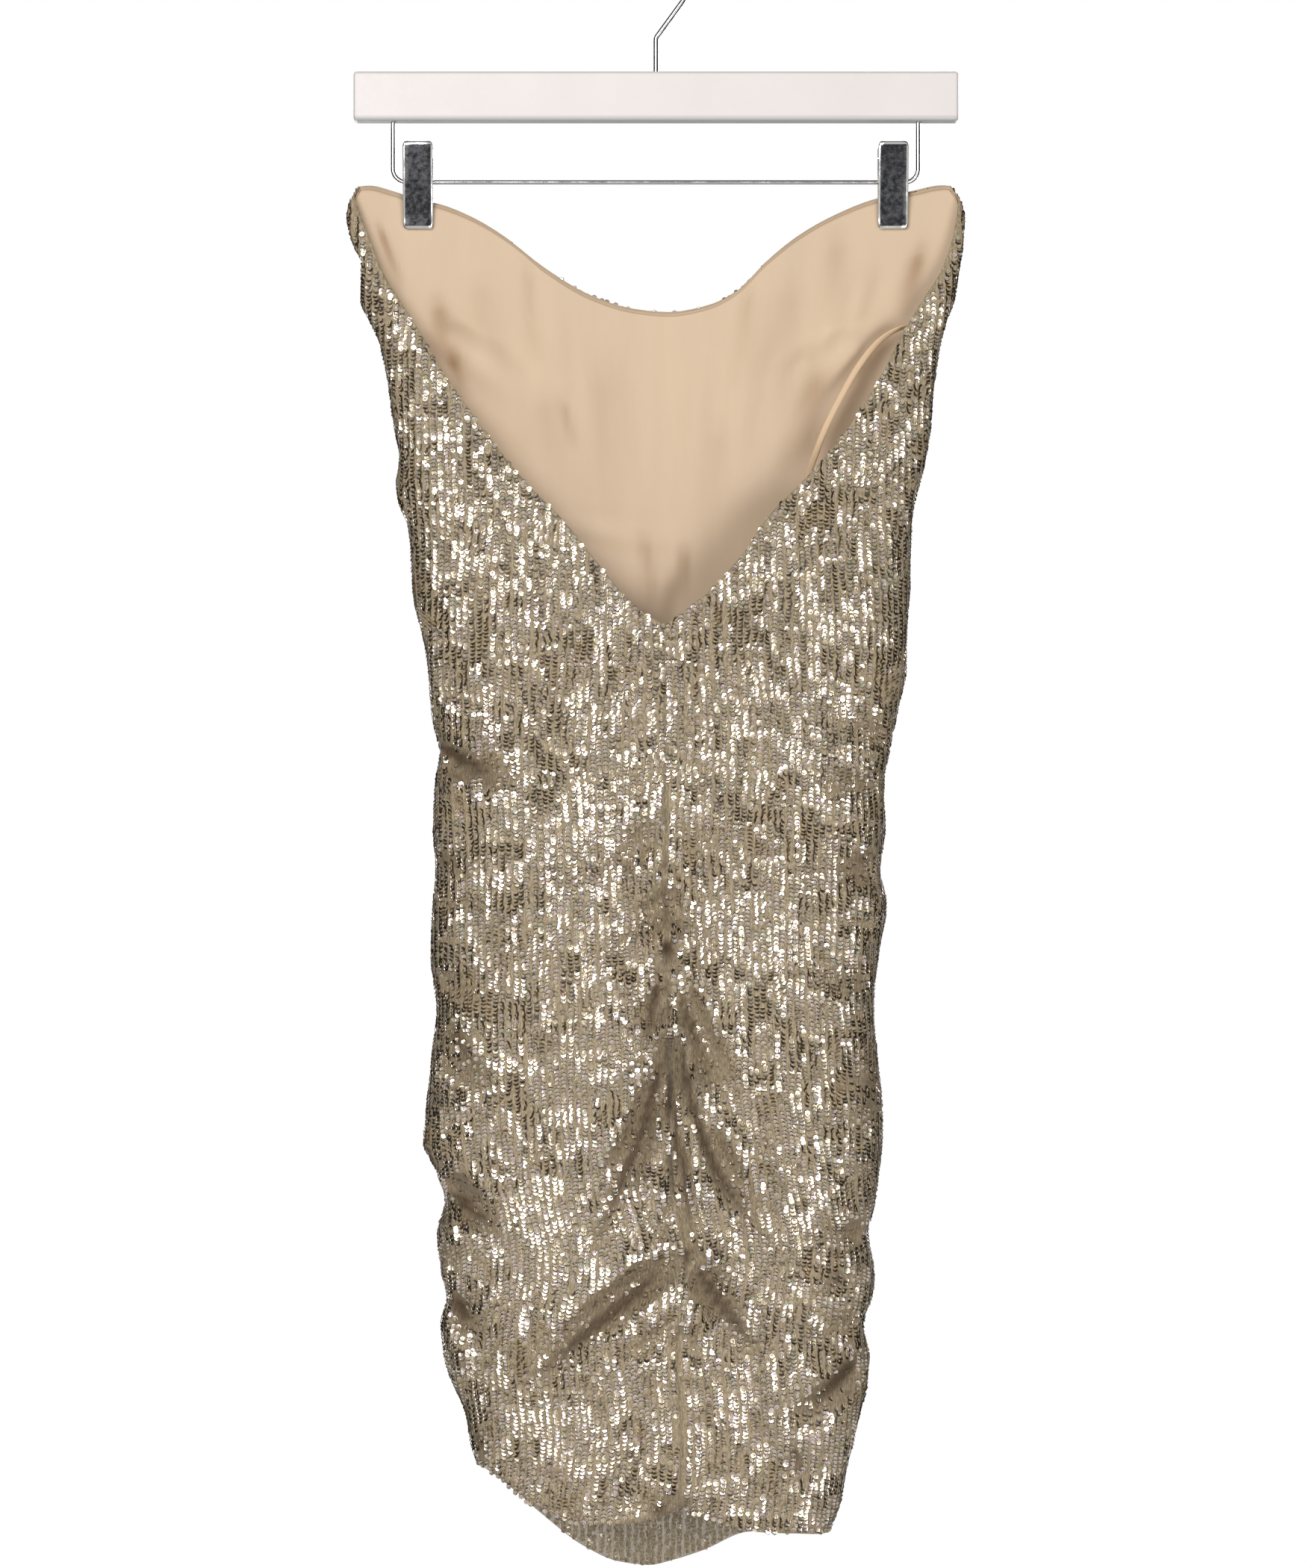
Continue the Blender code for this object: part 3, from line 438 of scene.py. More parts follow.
# %% Clefts
BACK_CLEFTS = (
    # x and drop at the start, the middle and the end, then how dark their painted shade is, which
    # also sets how far they are pressed in, and width
    (2, 498, -4, 525, -10, 550, 0.7, 3.0),
    (4, 548, -10, 606, -44, 672, 1.0, 3.0),
    (6, 552, 15, 604, 24, 676, 1.0, 2.2),
    (13, 503, 26, 535, 38, 566, 0.6, 2.6),
    (16, 536, 22, 616, 76, 664, 1.0, 2.9),
    (7, 474, 8, 482, 10, 490, 0.8, 4.0),
    (2, 680, -30, 706, -88, 756, 1.0, 3.8),
    (24, 678, 43, 701, 66, 734, 1.0, 3.6),
    (-129, 631, -113, 645, -94, 659, 0.8, 4.0),
    (-127, 697, -121, 708, -114, 718, 0.9, 5.0),
    (-129, 527, -118, 545, -103, 566, 0.5, 6.0),
    (126, 734, 110, 755, 82, 776, 0.7, 6.0),
    (117, 682, 110, 688, 102, 694, 0.4, 6.0),
    (-3, 829, 5, 827, 14, 831, 0.7, 4.0),
    (16, 671, 20, 668, 24, 672, 0.9, 3.2),
    (84, 788, 91, 800, 88, 813, 0.5, 5.0),
    (136, 548, 134, 578, 131, 606, 0.35, 7.0),
    (-113, 782, -109, 792, -103, 801, 0.5, 5.0),
    (-138, 351, -118, 366, -90, 377, 0.9, 4.4),
    (-139, 420, -124, 430, -108, 434, 0.4, 5.0),
    (138, 420, 122, 430, 104, 432, 0.4, 5.0),
)
FRONT_CLEFTS = (
    # x and drop at the start, the middle and the end, then how dark their painted shade is, which
    # also sets how far they are pressed in, and width
    (-138, 350, -120, 358, -98, 362, 0.7, 4.4),
    (-130, 630, -114, 640, -92, 650, 0.7, 4.2),
    (-127, 700, -114, 712, -92, 722, 0.7, 4.8),
    (-137, 520, -120, 532, -98, 540, 0.5, 5.0),
    (138, 466, 120, 474, 96, 476, 0.6, 5.0),
    (136, 560, 118, 572, 92, 578, 0.6, 5.0),
    (131, 690, 112, 702, 86, 716, 0.7, 5.0),
)
CLEFT_DEPTH = 1.4  # millimetres that the darkest cleft is pressed in

# %% Creases and hollows of the lining
LINING_CREASES = (
    # x and drop at the start, the middle and the end, then depth and width
    (-176, 26, -170, 48, -156, 74, 1.6, 3),
    (-134, 90, -128, 128, -136, 158, 1.4, 5),
    (-120, 50, -110, 96, -104, 140, 1.0, 6),
    (-84, 66, -80, 110, -84, 160, 1.2, 7),
    (-50, 84, -52, 140, -44, 210, 1.2, 6),
    (-12, 100, -10, 160, -4, 236, 1.2, 6),
    (12, 130, 10, 180, 2, 250, 1.2, 5),
    (44, 92, 40, 140, 30, 200, 1.2, 6),
    (78, 90, 70, 140, 48, 200, 1.2, 6),
    (116, 60, 104, 110, 82, 170, 1.4, 6),
    (146, 40, 138, 74, 120, 110, 1.2, 5),
    (20, 240, 12, 262, 4, 290, 1.8, 4),
    (-12, 240, -6, 266, -2, 290, 1.6, 4),
)
LINING_HOLLOWS = (
    # x and drop at the start, the middle and the end, then how dark their painted shade is, which
    # also sets how far they are pressed in, and width
    (-175, 25, -166, 48, -159, 70, 1.0, 3.0),
    (-138, 72, -134, 94, -126, 118, 0.8, 7),
    (-127, 104, -125, 118, -121, 136, 0.9, 5),
    (-112, 60, -109, 84, -106, 112, 0.25, 9),
    (-81, 48, -80, 85, -77, 112, 0.35, 4),
    (-60, 134, -55, 152, -50, 168, 0.5, 3.5),
    (-72, 130, -66, 160, -58, 196, 0.25, 10),
    (-34, 110, -30, 160, -28, 220, 0.2, 9),
    (58, 64, 56, 91, 51, 130, 0.35, 6),
    (84, 60, 80, 96, 74, 140, 0.25, 10),
    (114, 32, 113, 60, 110, 92, 0.35, 8),
    (167, 40, 161, 62, 154, 84, 0.9, 6),
    (146, 88, 133, 122, 100, 178, 0.6, 8),
    (102, 112, 98, 146, 88, 182, 0.5, 9),
    (40, 150, 38, 180, 30, 226, 0.2, 8),
    (-8, 219, -4, 246, 1, 266, 0.5, 4.5),
    (17, 226, 19, 246, 18, 264, 0.7, 3.6),
)

# %% [markdown]
# ## From the tables to points
#
# A table is read between its rows on a smooth curve that never overshoots. The tube's
# section is a rounded box whose squareness changes on the way down, and the folds move
# its points in or out.

# %% Reading a table
def smooth(table, at, column=1):
    """A column of a table read at any place, on a smooth curve through its rows."""
    rows = np.array(table, float)
    places, values = rows[:, 0], rows[:, column]
    steps = np.diff(places)
    slopes = np.diff(values) / steps
    tangents = np.zeros(len(values))
    same_way = slopes[:-1] * slopes[1:] > 0
    weights = steps[1:] + steps[:-1]
    with np.errstate(divide="ignore", invalid="ignore"):
        gentle = 3 * weights / (
            (weights + steps[1:]) / slopes[:-1] + (weights + steps[:-1]) / slopes[1:]
        )
    tangents[1:-1] = np.where(same_way, gentle, 0)
    tangents[0], tangents[-1] = slopes[0], slopes[-1]
    at = np.clip(np.asarray(at, float), places[0], places[-1])
    row = np.clip(np.searchsorted(places, at) - 1, 0, len(steps) - 1)
    t = (at - places[row]) / steps[row]
    return (
        values[row] * (1 + 2 * t) * (1 - t) ** 2
        + values[row + 1] * t * t * (3 - 2 * t)
        + steps[row] * t * (1 - t) * (tangents[row] * (1 - t) - tangents[row + 1] * t)
    )


def ramp(value, start, end):
    """0 before start and 1 after end, rising smoothly between them."""
    t = np.clip((value - start) / (end - start), 0, 1)
    return t * t * (3 - 2 * t)


# %% Folds, ridges and gathers
def near_line(line, x, drop):
    """Distance to a fold's line in fold widths, and the depth there.

    The line is a bow between two points, pulled towards a third. The fold fades and
    widens towards its end.
    """
    x0, drop0, x1, drop1, x2, drop2, depth, width = line
    t = np.linspace(0, 1, BOW_STEPS + 1)
    line_x = (1 - t) ** 2 * x0 + 2 * t * (1 - t) * x1 + t**2 * x2
    line_drop = (1 - t) ** 2 * drop0 + 2 * t * (1 - t) * drop1 + t**2 * drop2
    nearest = np.full(np.shape(x), np.inf)
    along = np.zeros(np.shape(x))
    for k in range(BOW_STEPS):
        run_x, run_drop = line_x[k + 1] - line_x[k], line_drop[k + 1] - line_drop[k]
        share = (x - line_x[k]) * run_x + (drop - line_drop[k]) * run_drop
        share = np.clip(share / (run_x**2 + run_drop**2), 0, 1)
        away = np.hypot(
            x - line_x[k] - share * run_x, drop - line_drop[k] - share * run_drop
        )
        closer = away < nearest
        nearest = np.where(closer, away, nearest)
        along = np.where(closer, (k + share) / BOW_STEPS, along)
    widened = width * (FOLD_NARROW + (FOLD_WIDE - FOLD_NARROW) * along)
    grown = FOLD_START + (1 - FOLD_START) * ramp(along, 0, FOLD_GROWN)
    return nearest / widened, depth * grown * (1 - along**FOLD_FADE)


def about(line, x, drop):
    """Which points lie close enough to a fold's line for it to move them."""
    reach = FOLD_REACH * FOLD_WIDE * line[7]
    in_x = (x > min(line[0:6:2]) - reach) & (x < max(line[0:6:2]) + reach)
    return in_x & (drop > min(line[1:6:2]) - reach) & (drop < max(line[1:6:2]) + reach)


def folds(table, x, drop):
    """How far a set of folds moves the cloth outwards: troughs with raised lips."""
    moved = np.zeros(x.shape)
    for line in table:
        here = about(line, x, drop)
        away, depth = near_line(line, x[here], drop[here])
        moved[here] += depth * (2 * away**2 - 1) * np.exp(-(away**2))
    return FOLD_LIMIT * np.tanh(moved / FOLD_LIMIT)


def ridges(table, x, drop):
    """How far a set of folds raises the cloth: low ridges with nothing beside them."""
    moved = np.zeros(x.shape)
    for line in table:
        here = about(line, x, drop)
        away, depth = near_line(line, x[here], drop[here])
        moved[here] += depth * np.exp(-(away**2))
    return moved


def gathers(x, drop, seam_x, phase):
    """Small puckers across a gathered seam, fading away from it."""
    near = np.exp(-np.abs(x - seam_x) / GATHER_REACH)
    where = ramp(drop, GATHER_FROM, GATHER_FROM + 30)
    where = where * (1 - ramp(drop, GATHER_TO - 40, GATHER_TO))
    wave = np.sin(FULL_TURN * drop / GATHER_PITCH + phase + 1.3 * np.sin(drop / 41))
    return GATHER_HEIGHT * near * where * wave


# %% The tube
def plain_ring(turn, drop):
    """The tube before its folds: x and y at each turn and drop."""
    left, right = smooth(OUTLINE, drop, 1), smooth(OUTLINE, drop, 2)
    front, back = smooth(DEPTH, drop, 1), smooth(DEPTH, drop, 2)
    seam, square = smooth(DEPTH, drop, 3), smooth(DEPTH, drop, 4)
    across = -np.cos(turn)
    bulge = (1 - np.abs(across) ** square).clip(0) ** (1 / square)
    middle = np.where(np.sin(turn) >= 0, front, back)
    x = (left + right) / 2 + (right - left) / 2 * across
    return x, seam + (middle - seam) * bulge


def cloth(turn, drop):
    """Points of the net's outer face, as an array of x, y, z in millimetres."""
    turn, drop = np.broadcast_arrays(turn, drop)
    x, y = plain_ring(turn, drop)
    is_back = np.sin(turn) < 0
    left, right = smooth(OUTLINE, drop, 1), smooth(OUTLINE, drop, 2)
    back = folds(BACK_FOLDS, x, drop) + folds(BACK_CREASES, x, drop)
    back = back + CLEFT_DEPTH * folds(BACK_CLEFTS, x, drop)
    front = folds(FRONT_FOLDS, x, drop) + folds(FRONT_CREASES, x, drop)
    front = front + CLEFT_DEPTH * folds(FRONT_CLEFTS, x, drop)
    moved = np.where(is_back, back, front)
    moved = moved + gathers(x, drop, left, 0.0) + gathers(x, drop, right, 2.0)
    middle = smooth(CENTRE_BACK, drop)
    moved = moved + np.where(is_back, 1.2 * gathers(x, drop, middle, 4.0), 0)
    moved = moved * ramp(np.minimum(x - left, right - x), 0, FOLD_MARGIN)
    y = y + np.where(is_back, -moved, moved)
    return np.stack([x, y, DRESS_TOP - drop + 0 * x], axis=-1)


# %% Where an edge or a seam crosses the tube
def turn_at(x, drop, is_back):
    """The turn at which the plain tube passes a given x."""
    left, right = smooth(OUTLINE, drop, 1), smooth(OUTLINE, drop, 2)
    across = np.clip((2 * x - left - right) / (right - left), -1, 1)
    turn = np.arccos(-across)
    return FULL_TURN - turn if is_back else turn


def drop_on_edge(turn, span, edge):
    """The drop at which a column of the tube, at a fixed turn, meets an edge."""
    low, high = (np.full(np.shape(turn), limit) for limit in span)
    for _ in range(HALVINGS):
        middle = (low + high) / 2
        beyond = edge(plain_ring(turn, middle)[0], middle)
        low, high = np.where(beyond, low, middle), np.where(beyond, middle, high)
    return (low + high) / 2


def below_neckline(x, drop):
    return drop > smooth(NECKLINE, x)


def below_left_edge(x, drop):
    return x < smooth(V_EDGES, drop, 1)


def below_right_edge(x, drop):
    return x > smooth(V_EDGES, drop, 2)


def below_waist(is_back):
    column = 1 if is_back else 2
    return lambda x, drop: drop > smooth(WAIST_SEAM, x, column)


def below_wing_seam(x, drop):
    return drop > smooth(WING_SEAM, x)


def below_hem(is_back):
    column = 1 if is_back else 2
    return lambda x, drop: drop > smooth(HEM, x, column)


# %% [markdown]
# ## The cloth as a lattice
#
# Tens of thousands of sequins need a place and a direction on the cloth. Working the
# folds out once, on a fine lattice of turns and drops, and reading between its points
# afterwards is far quicker than working them out again for each sequin. The lattice
# also gives each place its outward direction, and its distance round the tube from the
# centre line, which the upright rows of sequins follow.

# %% The lattice
LEVEL_STEP = 2.0
LEVELS = np.arange(-6.0, 884.0, LEVEL_STEP)
TURN_STEP = FULL_TURN / 1440
TURNS = np.arange(1440) * TURN_STEP

places = cloth(TURNS[None, :], LEVELS[:, None])
round_it = np.roll(places, -1, axis=1) - np.roll(places, 1, axis=1)
down_it = np.gradient(places, axis=0)
outwards = np.cross(round_it, down_it)
outwards /= np.linalg.norm(outwards, axis=-1, keepdims=True)


def closed(grid):
    """A lattice whose first column is repeated at its end, a full turn on."""
    return np.concatenate([grid, grid[:, :1]], axis=1)


PLACES, OUTWARDS = closed(places), closed(outwards)
ring_x, ring_y = plain_ring(TURNS[None, :], LEVELS[:, None])
RING = closed(np.stack([ring_x, ring_y], axis=-1))
steps = np.linalg.norm(np.diff(RING, axis=1), axis=-1)
ROUND = np.concatenate([np.zeros((len(LEVELS), 1)), np.cumsum(steps, axis=1)], axis=1)
ALL_TURNS = np.append(TURNS, FULL_TURN)
print("lattice:", PLACES.shape[:2], "longest way round:", round(ROUND[:, -1].max()), "mm")

# %% Reading the lattice
def read(grid, turn, drop):
    """A value of the lattice at any turn and drop, between its nearest four points."""
    across = np.clip(turn / TURN_STEP, 0, len(TURNS) - 1e-6)
    down = np.clip((drop - LEVELS[0]) / LEVEL_STEP, 0, len(LEVELS) - 1 - 1e-6)
    column, row = across.astype(int), down.astype(int)
    s, t = across - column, down - row
    if grid.ndim > 2:
        s, t = s[..., None], t[..., None]
    upper = grid[row, column] * (1 - s) + grid[row, column + 1] * s
    lower = grid[row + 1, column] * (1 - s) + grid[row + 1, column + 1] * s
    return upper * (1 - t) + lower * t


def unit(vectors):
    return vectors / np.linalg.norm(vectors, axis=-1, keepdims=True)


def centre_turn(drop, is_back):
    """The turn of the centre line: the seam at the back, the middle of the front."""
    if is_back:
        return turn_at(smooth(CENTRE_BACK, drop), drop, True)
    return turn_at(np.full(np.shape(drop), CENTRE_X), drop, False)


def from_centre(turn, drop, is_back):
    """Distance round the tube from the centre line, in millimetres."""
    return read(ROUND, turn, drop) - read(ROUND, centre_turn(drop, is_back), drop)


ring_along_x = np.roll(ring_x, -1, 1) - np.roll(ring_x, 1, 1)
ring_along_y = np.roll(ring_y, -1, 1) - np.roll(ring_y, 1, 1)
RING_OUT = closed(unit(np.stack([-ring_along_y, ring_along_x], axis=-1)))


def squareness(turn, drop):
    """1 where the cloth faces straight out from the tube, less on the flanks of folds."""
    return np.abs((read(OUTWARDS, turn, drop)[..., :2] * read(RING_OUT, turn, drop)).sum(axis=-1))


# %% [markdown]
# ## Shader groups
#
# Several finishes share two effects: threads woven or knitted at a real pitch, and a
# soft blotchy change of tone such as cloth and metal have from handling. Each effect
# is a node group with named inputs, built once and used with each finish's values.

# %% Helpers for node groups
def new_group(name, inputs, outputs):
    """An empty shader group. Inputs and outputs are (name, socket type, value)."""
    group = bpy.data.node_groups.new(name, "ShaderNodeTree")
    for label, kind, value in inputs:
        socket = group.interface.new_socket(label, in_out="INPUT", socket_type=kind)
        if value is not None:
            socket.default_value = value
    for label, kind in outputs:
        group.interface.new_socket(label, in_out="OUTPUT", socket_type=kind)
    return group, group.nodes.new("NodeGroupInput"), group.nodes.new("NodeGroupOutput")


def add(tree, kind, values=(), **settings):
    """A node with its settings, and its inputs set from (name or number, value)."""
    node = tree.nodes.new(kind)
    for key, value in settings.items():
        setattr(node, key, value)
    for key, value in dict(values).items():
        node.inputs[key].default_value = value
    return node


def calculate(tree, operation, first, second=None):
    """A Math node on two sockets or numbers. Returns its result."""
    node = tree.nodes.new("ShaderNodeMath")
    node.operation = operation
    for socket, value in zip(node.inputs, (first, second)):
        if value is None:
            continue
        if isinstance(value, (int, float)):
            socket.default_value = value
        else:
            tree.links.new(value, socket)
    return node.outputs[0]


def blend_colours(tree, share, first, second):
    """A Mix node between two colours. Each is a socket or red, green and blue."""
    node = tree.nodes.new("ShaderNodeMix")
    node.data_type = "RGBA"
    for socket, value in ((node.inputs[0], share), (node.inputs[6], first), (node.inputs[7], second)):
        if isinstance(value, bpy.types.NodeSocket):
            tree.links.new(value, socket)
        elif isinstance(value, (int, float)):
            socket.default_value = value
        else:
            socket.default_value = (*value, 1)
    return node.outputs[2]


def multiply_colours(tree, first, second):
    node = tree.nodes.new("ShaderNodeMix")
    node.data_type = "RGBA"
    node.blend_type = "MULTIPLY"
    node.inputs[0].default_value = 1.0
    tree.links.new(first, node.inputs[6])
    tree.links.new(second, node.inputs[7])
    return node.outputs[2]


# %% Threads
def build_threads():
    """Fine ribs one way and finer ones across, from the piece's own cloth UVs."""
    group, start, end = new_group(
        "threads",
        [
            ("Vector", "NodeSocketVector", None),
            ("Rib Pitch", "NodeSocketFloat", 1.4 * MM),
            ("Cross Pitch", "NodeSocketFloat", 0.9 * MM),
            ("Cross Share", "NodeSocketFloat", 0.4),
            ("Unevenness", "NodeSocketFloat", 1.0),
        ],
        [("Mask", "NodeSocketFloat")],
    )
    link = group.links.new
    wander = add(group, "ShaderNodeTexNoise", {"Scale": 900.0, "Detail": 2.0})
    link(start.outputs["Vector"], wander.inputs["Vector"])
    sway = calculate(group, "MULTIPLY", wander.outputs[0], start.outputs["Unevenness"])
    split = group.nodes.new("ShaderNodeSeparateXYZ")
    link(start.outputs["Vector"], split.inputs[0])
    waves = []
    for axis, pitch in (("X", "Rib Pitch"), ("Y", "Cross Pitch")):
        count = calculate(group, "DIVIDE", split.outputs[axis], start.outputs[pitch])
        swayed = calculate(group, "ADD", count, sway)
        angle = calculate(group, "MULTIPLY", swayed, FULL_TURN)
        wave = calculate(group, "SINE", angle)
        half = calculate(group, "MULTIPLY", wave, 0.5)
        waves.append(calculate(group, "ADD", half, 0.5))
    crossed = calculate(group, "MULTIPLY", waves[1], start.outputs["Cross Share"])
    total = calculate(group, "MAXIMUM", waves[0], crossed)
    link(total, end.inputs["Mask"])
    return group


THREADS = build_threads()

# %% Blotches
def build_blotches():
    """A soft uneven tone, between 0 and 1, at a stated size."""
    group, start, end = new_group(
        "blotches",
        [
            ("Vector", "NodeSocketVector", None),
            ("Size", "NodeSocketFloat", 30 * MM),
            ("Contrast", "NodeSocketFloat", 2.0),
        ],
        [("Mask", "NodeSocketFloat")],
    )
    link = group.links.new
    scale = calculate(group, "DIVIDE", 1.0, start.outputs["Size"])
    noise = add(group, "ShaderNodeTexNoise", {"Detail": 4.0, "Roughness": 0.6})
    link(start.outputs["Vector"], noise.inputs["Vector"])
    link(scale, noise.inputs["Scale"])
    centred = calculate(group, "SUBTRACT", noise.outputs[0], 0.5)
    stretched = calculate(group, "MULTIPLY", centred, start.outputs["Contrast"])
    shifted = group.nodes.new("ShaderNodeMath")
    shifted.operation = "ADD"
    shifted.use_clamp = True
    shifted.inputs[1].default_value = 0.5
    link(stretched, shifted.inputs[0])
    link(shifted.outputs[0], end.inputs["Mask"])
    return group


BLOTCHES = build_blotches()

# %% A new material with its shader
def new_material(name, **values):
    """A material whose Principled shader has some sockets set. Returns its tree too."""
    made = bpy.data.materials.new(name)
    made.use_nodes = True
    shader = made.node_tree.nodes["Principled BSDF"]
    for key, value in values.items():
        socket = shader.inputs[key.replace("_", " ").title()]
        socket.default_value = (*value, 1) if isinstance(value, tuple) else value
    return made, made.node_tree, shader


def use_group(tree, group, vector, **values):
    """A group placed in a material, reading a vector. Returns its mask."""
    node = tree.nodes.new("ShaderNodeGroup")
    node.node_tree = group
    tree.links.new(vector, node.inputs["Vector"])
    for key, value in values.items():
        node.inputs[key.replace("_", " ").title()].default_value = value
    return node.outputs["Mask"]


def bump(tree, shader, height, distance, strength=1.0):
    """Raises the surface by a mask, up to a distance in metres."""
    node = add(tree, "ShaderNodeBump", {"Strength": strength, "Distance": distance})
    tree.links.new(height, node.inputs["Height"])
    tree.links.new(node.outputs[0], shader.inputs["Normal"])


# %% [markdown]
# ## The finishes of the cloth
#
# The net under the sequins is a warp knit: fine upright threads with looser ones
# across. Its thread is olive beige and a little shiny. The lining is a plain satin,
# warmer and paler, with an almost invisible weave and a soft sheen. Both read the
# piece's own UV map, which holds real distances on the cloth, so the threads keep their
# pitch and follow every fold.

# %% Net
NET_PITCH = 0.9 * MM
NET_LIGHT = (0.58, 0.50, 0.35)
NET_DARK = (0.22, 0.175, 0.105)
NET_COOLER = (0.80, 0.80, 0.76)
NET_WARMER = (1.0, 0.97, 0.92)
SHEER_OPACITY = 0.35  # between the threads of the see-through net
SHEER_THREAD = 0.45  # and how much more opaque its threads are
NET_DRAWN = (1.0, 0.3, 1.0)  # its uneven tone is drawn out along the upright threads
# the colour of the painted shade on the net, on fold flanks, in valleys and in clefts
FOLD_SHADE_COLOUR = (0.24, 0.185, 0.12)


def build_net(name, opacity=None):
    """The net. With an opacity it is see-through between its threads."""
    made, tree, shader = new_material(name, roughness=0.62)
    where = add(tree, "ShaderNodeUVMap", uv_map="cloth").outputs[0]
    pitches = {"rib_pitch": NET_PITCH, "cross_pitch": NET_PITCH}
    ribs = use_group(tree, THREADS, where, **pitches, unevenness=2.2, cross_share=0.8)
    tone = use_group(tree, BLOTCHES, where, size=24 * MM, contrast=1.6)
    drawn = tree.nodes.new("ShaderNodeVectorMath")
    drawn.operation = "MULTIPLY"
    drawn.inputs[1].default_value = NET_DRAWN
    tree.links.new(where, drawn.inputs[0])
    streaks = use_group(tree, BLOTCHES, drawn.outputs[0], size=1.1 * MM, contrast=3.4)
    uneven = calculate(tree, "MULTIPLY", ribs, streaks)
    thread = blend_colours(tree, uneven, NET_DARK, NET_LIGHT)
    warmer = blend_colours(tree, tone, NET_COOLER, NET_WARMER)
    # Painted shade: the net darkens on the flanks of folds, in their valleys and in clefts.
    painted_fold_shade = add(tree, "ShaderNodeAttribute", attribute_name="painted_fold_shade").outputs["Fac"]
    shaded = blend_colours(tree, painted_fold_shade, (1.0, 1.0, 1.0), FOLD_SHADE_COLOUR)
    product = multiply_colours(tree, multiply_colours(tree, thread, warmer), shaded)
    tree.links.new(product, shader.inputs["Base Color"])
    shader.inputs["Sheen Weight"].default_value = 0.15
    bump(tree, shader, ribs, 0.12 * MM)
    if opacity is not None:
        knots = calculate(tree, "MULTIPLY", ribs, SHEER_THREAD)
        tree.links.new(calculate(tree, "ADD", knots, opacity), shader.inputs["Alpha"])
    return made


NET = build_net("net")
SHEER_NET = build_net("sheer net", SHEER_OPACITY)

# %% Satin lining
# the colour of the painted shade in the lining's hollows, also used for its edge stitching
HOLLOW_SHADE_AND_STITCH = (0.56, 0.46, 0.37)
SATIN_DRAWN = (1.0, 0.14, 1.0)  # its painted shade and light run in long upright bands, like the shading of soft folds
EDGE_STITCH = 1.5  # millimetres from the neck to the stitching that holds the lining back
EDGE_STITCH_WIDTH = 0.45


def edge_stitching(tree):
    """A thin line at one distance below the neck."""
    below = add(tree, "ShaderNodeAttribute", attribute_name="below_edge").outputs["Fac"]
    away = calculate(tree, "ABSOLUTE", calculate(tree, "SUBTRACT", below, EDGE_STITCH))
    near = calculate(tree, "LESS_THAN", away, EDGE_STITCH_WIDTH)
    return calculate(tree, "MULTIPLY", near, calculate(tree, "GREATER_THAN", below, 0.1))


def build_satin(name, colour, pitch):
    made, tree, shader = new_material(name, roughness=0.5)
    where = add(tree, "ShaderNodeUVMap", uv_map="cloth").outputs[0]
    weave = use_group(
        tree, THREADS, where, rib_pitch=pitch, cross_pitch=pitch, cross_share=0.9, unevenness=0.6
    )
    drawn = tree.nodes.new("ShaderNodeVectorMath")
    drawn.operation = "MULTIPLY"
    drawn.inputs[1].default_value = SATIN_DRAWN
    tree.links.new(where, drawn.inputs[0])
    # Painted shade and light: long upright bands of darker and paler satin stand in for the shading
    # of its soft folds.
    tone = use_group(tree, BLOTCHES, drawn.outputs[0], size=34 * MM, contrast=1.4)
    darker = tuple(0.9 * c for c in colour)
    paler = tuple(1.04 * c for c in colour)
    mixed = blend_colours(tree, tone, darker, paler)
    # Painted shade in the lining's hollows, and the stitching below the neck.
    painted_hollow_shade = add(tree, "ShaderNodeAttribute", attribute_name="painted_hollow_shade").outputs["Fac"]
    hollow_shade_and_stitch = calculate(tree, "MAXIMUM", painted_hollow_shade, calculate(tree, "MULTIPLY", edge_stitching(tree), 0.5))
    shaded = multiply_colours(tree, mixed, blend_colours(tree, hollow_shade_and_stitch, (1.0, 1.0, 1.0), HOLLOW_SHADE_AND_STITCH))
    tree.links.new(shaded, shader.inputs["Base Color"])
    rough = calculate(tree, "MULTIPLY", tone, 0.14)
    tree.links.new(calculate(tree, "ADD", rough, 0.44), shader.inputs["Roughness"])
    shader.inputs["Specular IOR Level"].default_value = 0.35
    shader.inputs["Sheen Weight"].default_value = 0.15
    bump(tree, shader, weave, 0.04 * MM)
    return made


LINING_COLOUR = (0.62, 0.49, 0.34)
SATIN = build_satin("satin lining", LINING_COLOUR, 0.35 * MM)
RIBBON = build_satin("satin ribbon", (0.66, 0.49, 0.31), 0.3 * MM)

# %% [markdown]
# ## Sequin finishes
#
# A sequin is a tiny metal-coated plastic cup. They look alike in the hand, but their
# coating differs a little from one to the next, and here and there it turns pink or
# green. A handful of plain metallic tints, dealt out at random, gives that better
# than any texture could, because each cup then has one colour of its own.

# %% Sequin tints
SEQUIN_TINTS = (
    # red, green, blue, roughness, how many in a hundred
    (0.80, 0.72, 0.60, 0.16, 26),
    (0.84, 0.76, 0.69, 0.13, 20),
    (0.74, 0.67, 0.50, 0.18, 16),
    (0.90, 0.82, 0.80, 0.10, 12),
    (0.62, 0.57, 0.42, 0.22, 10),
    (0.86, 0.74, 0.76, 0.12, 6),
    (0.66, 0.70, 0.58, 0.16, 4),
    (0.50, 0.43, 0.32, 0.26, 6),
)


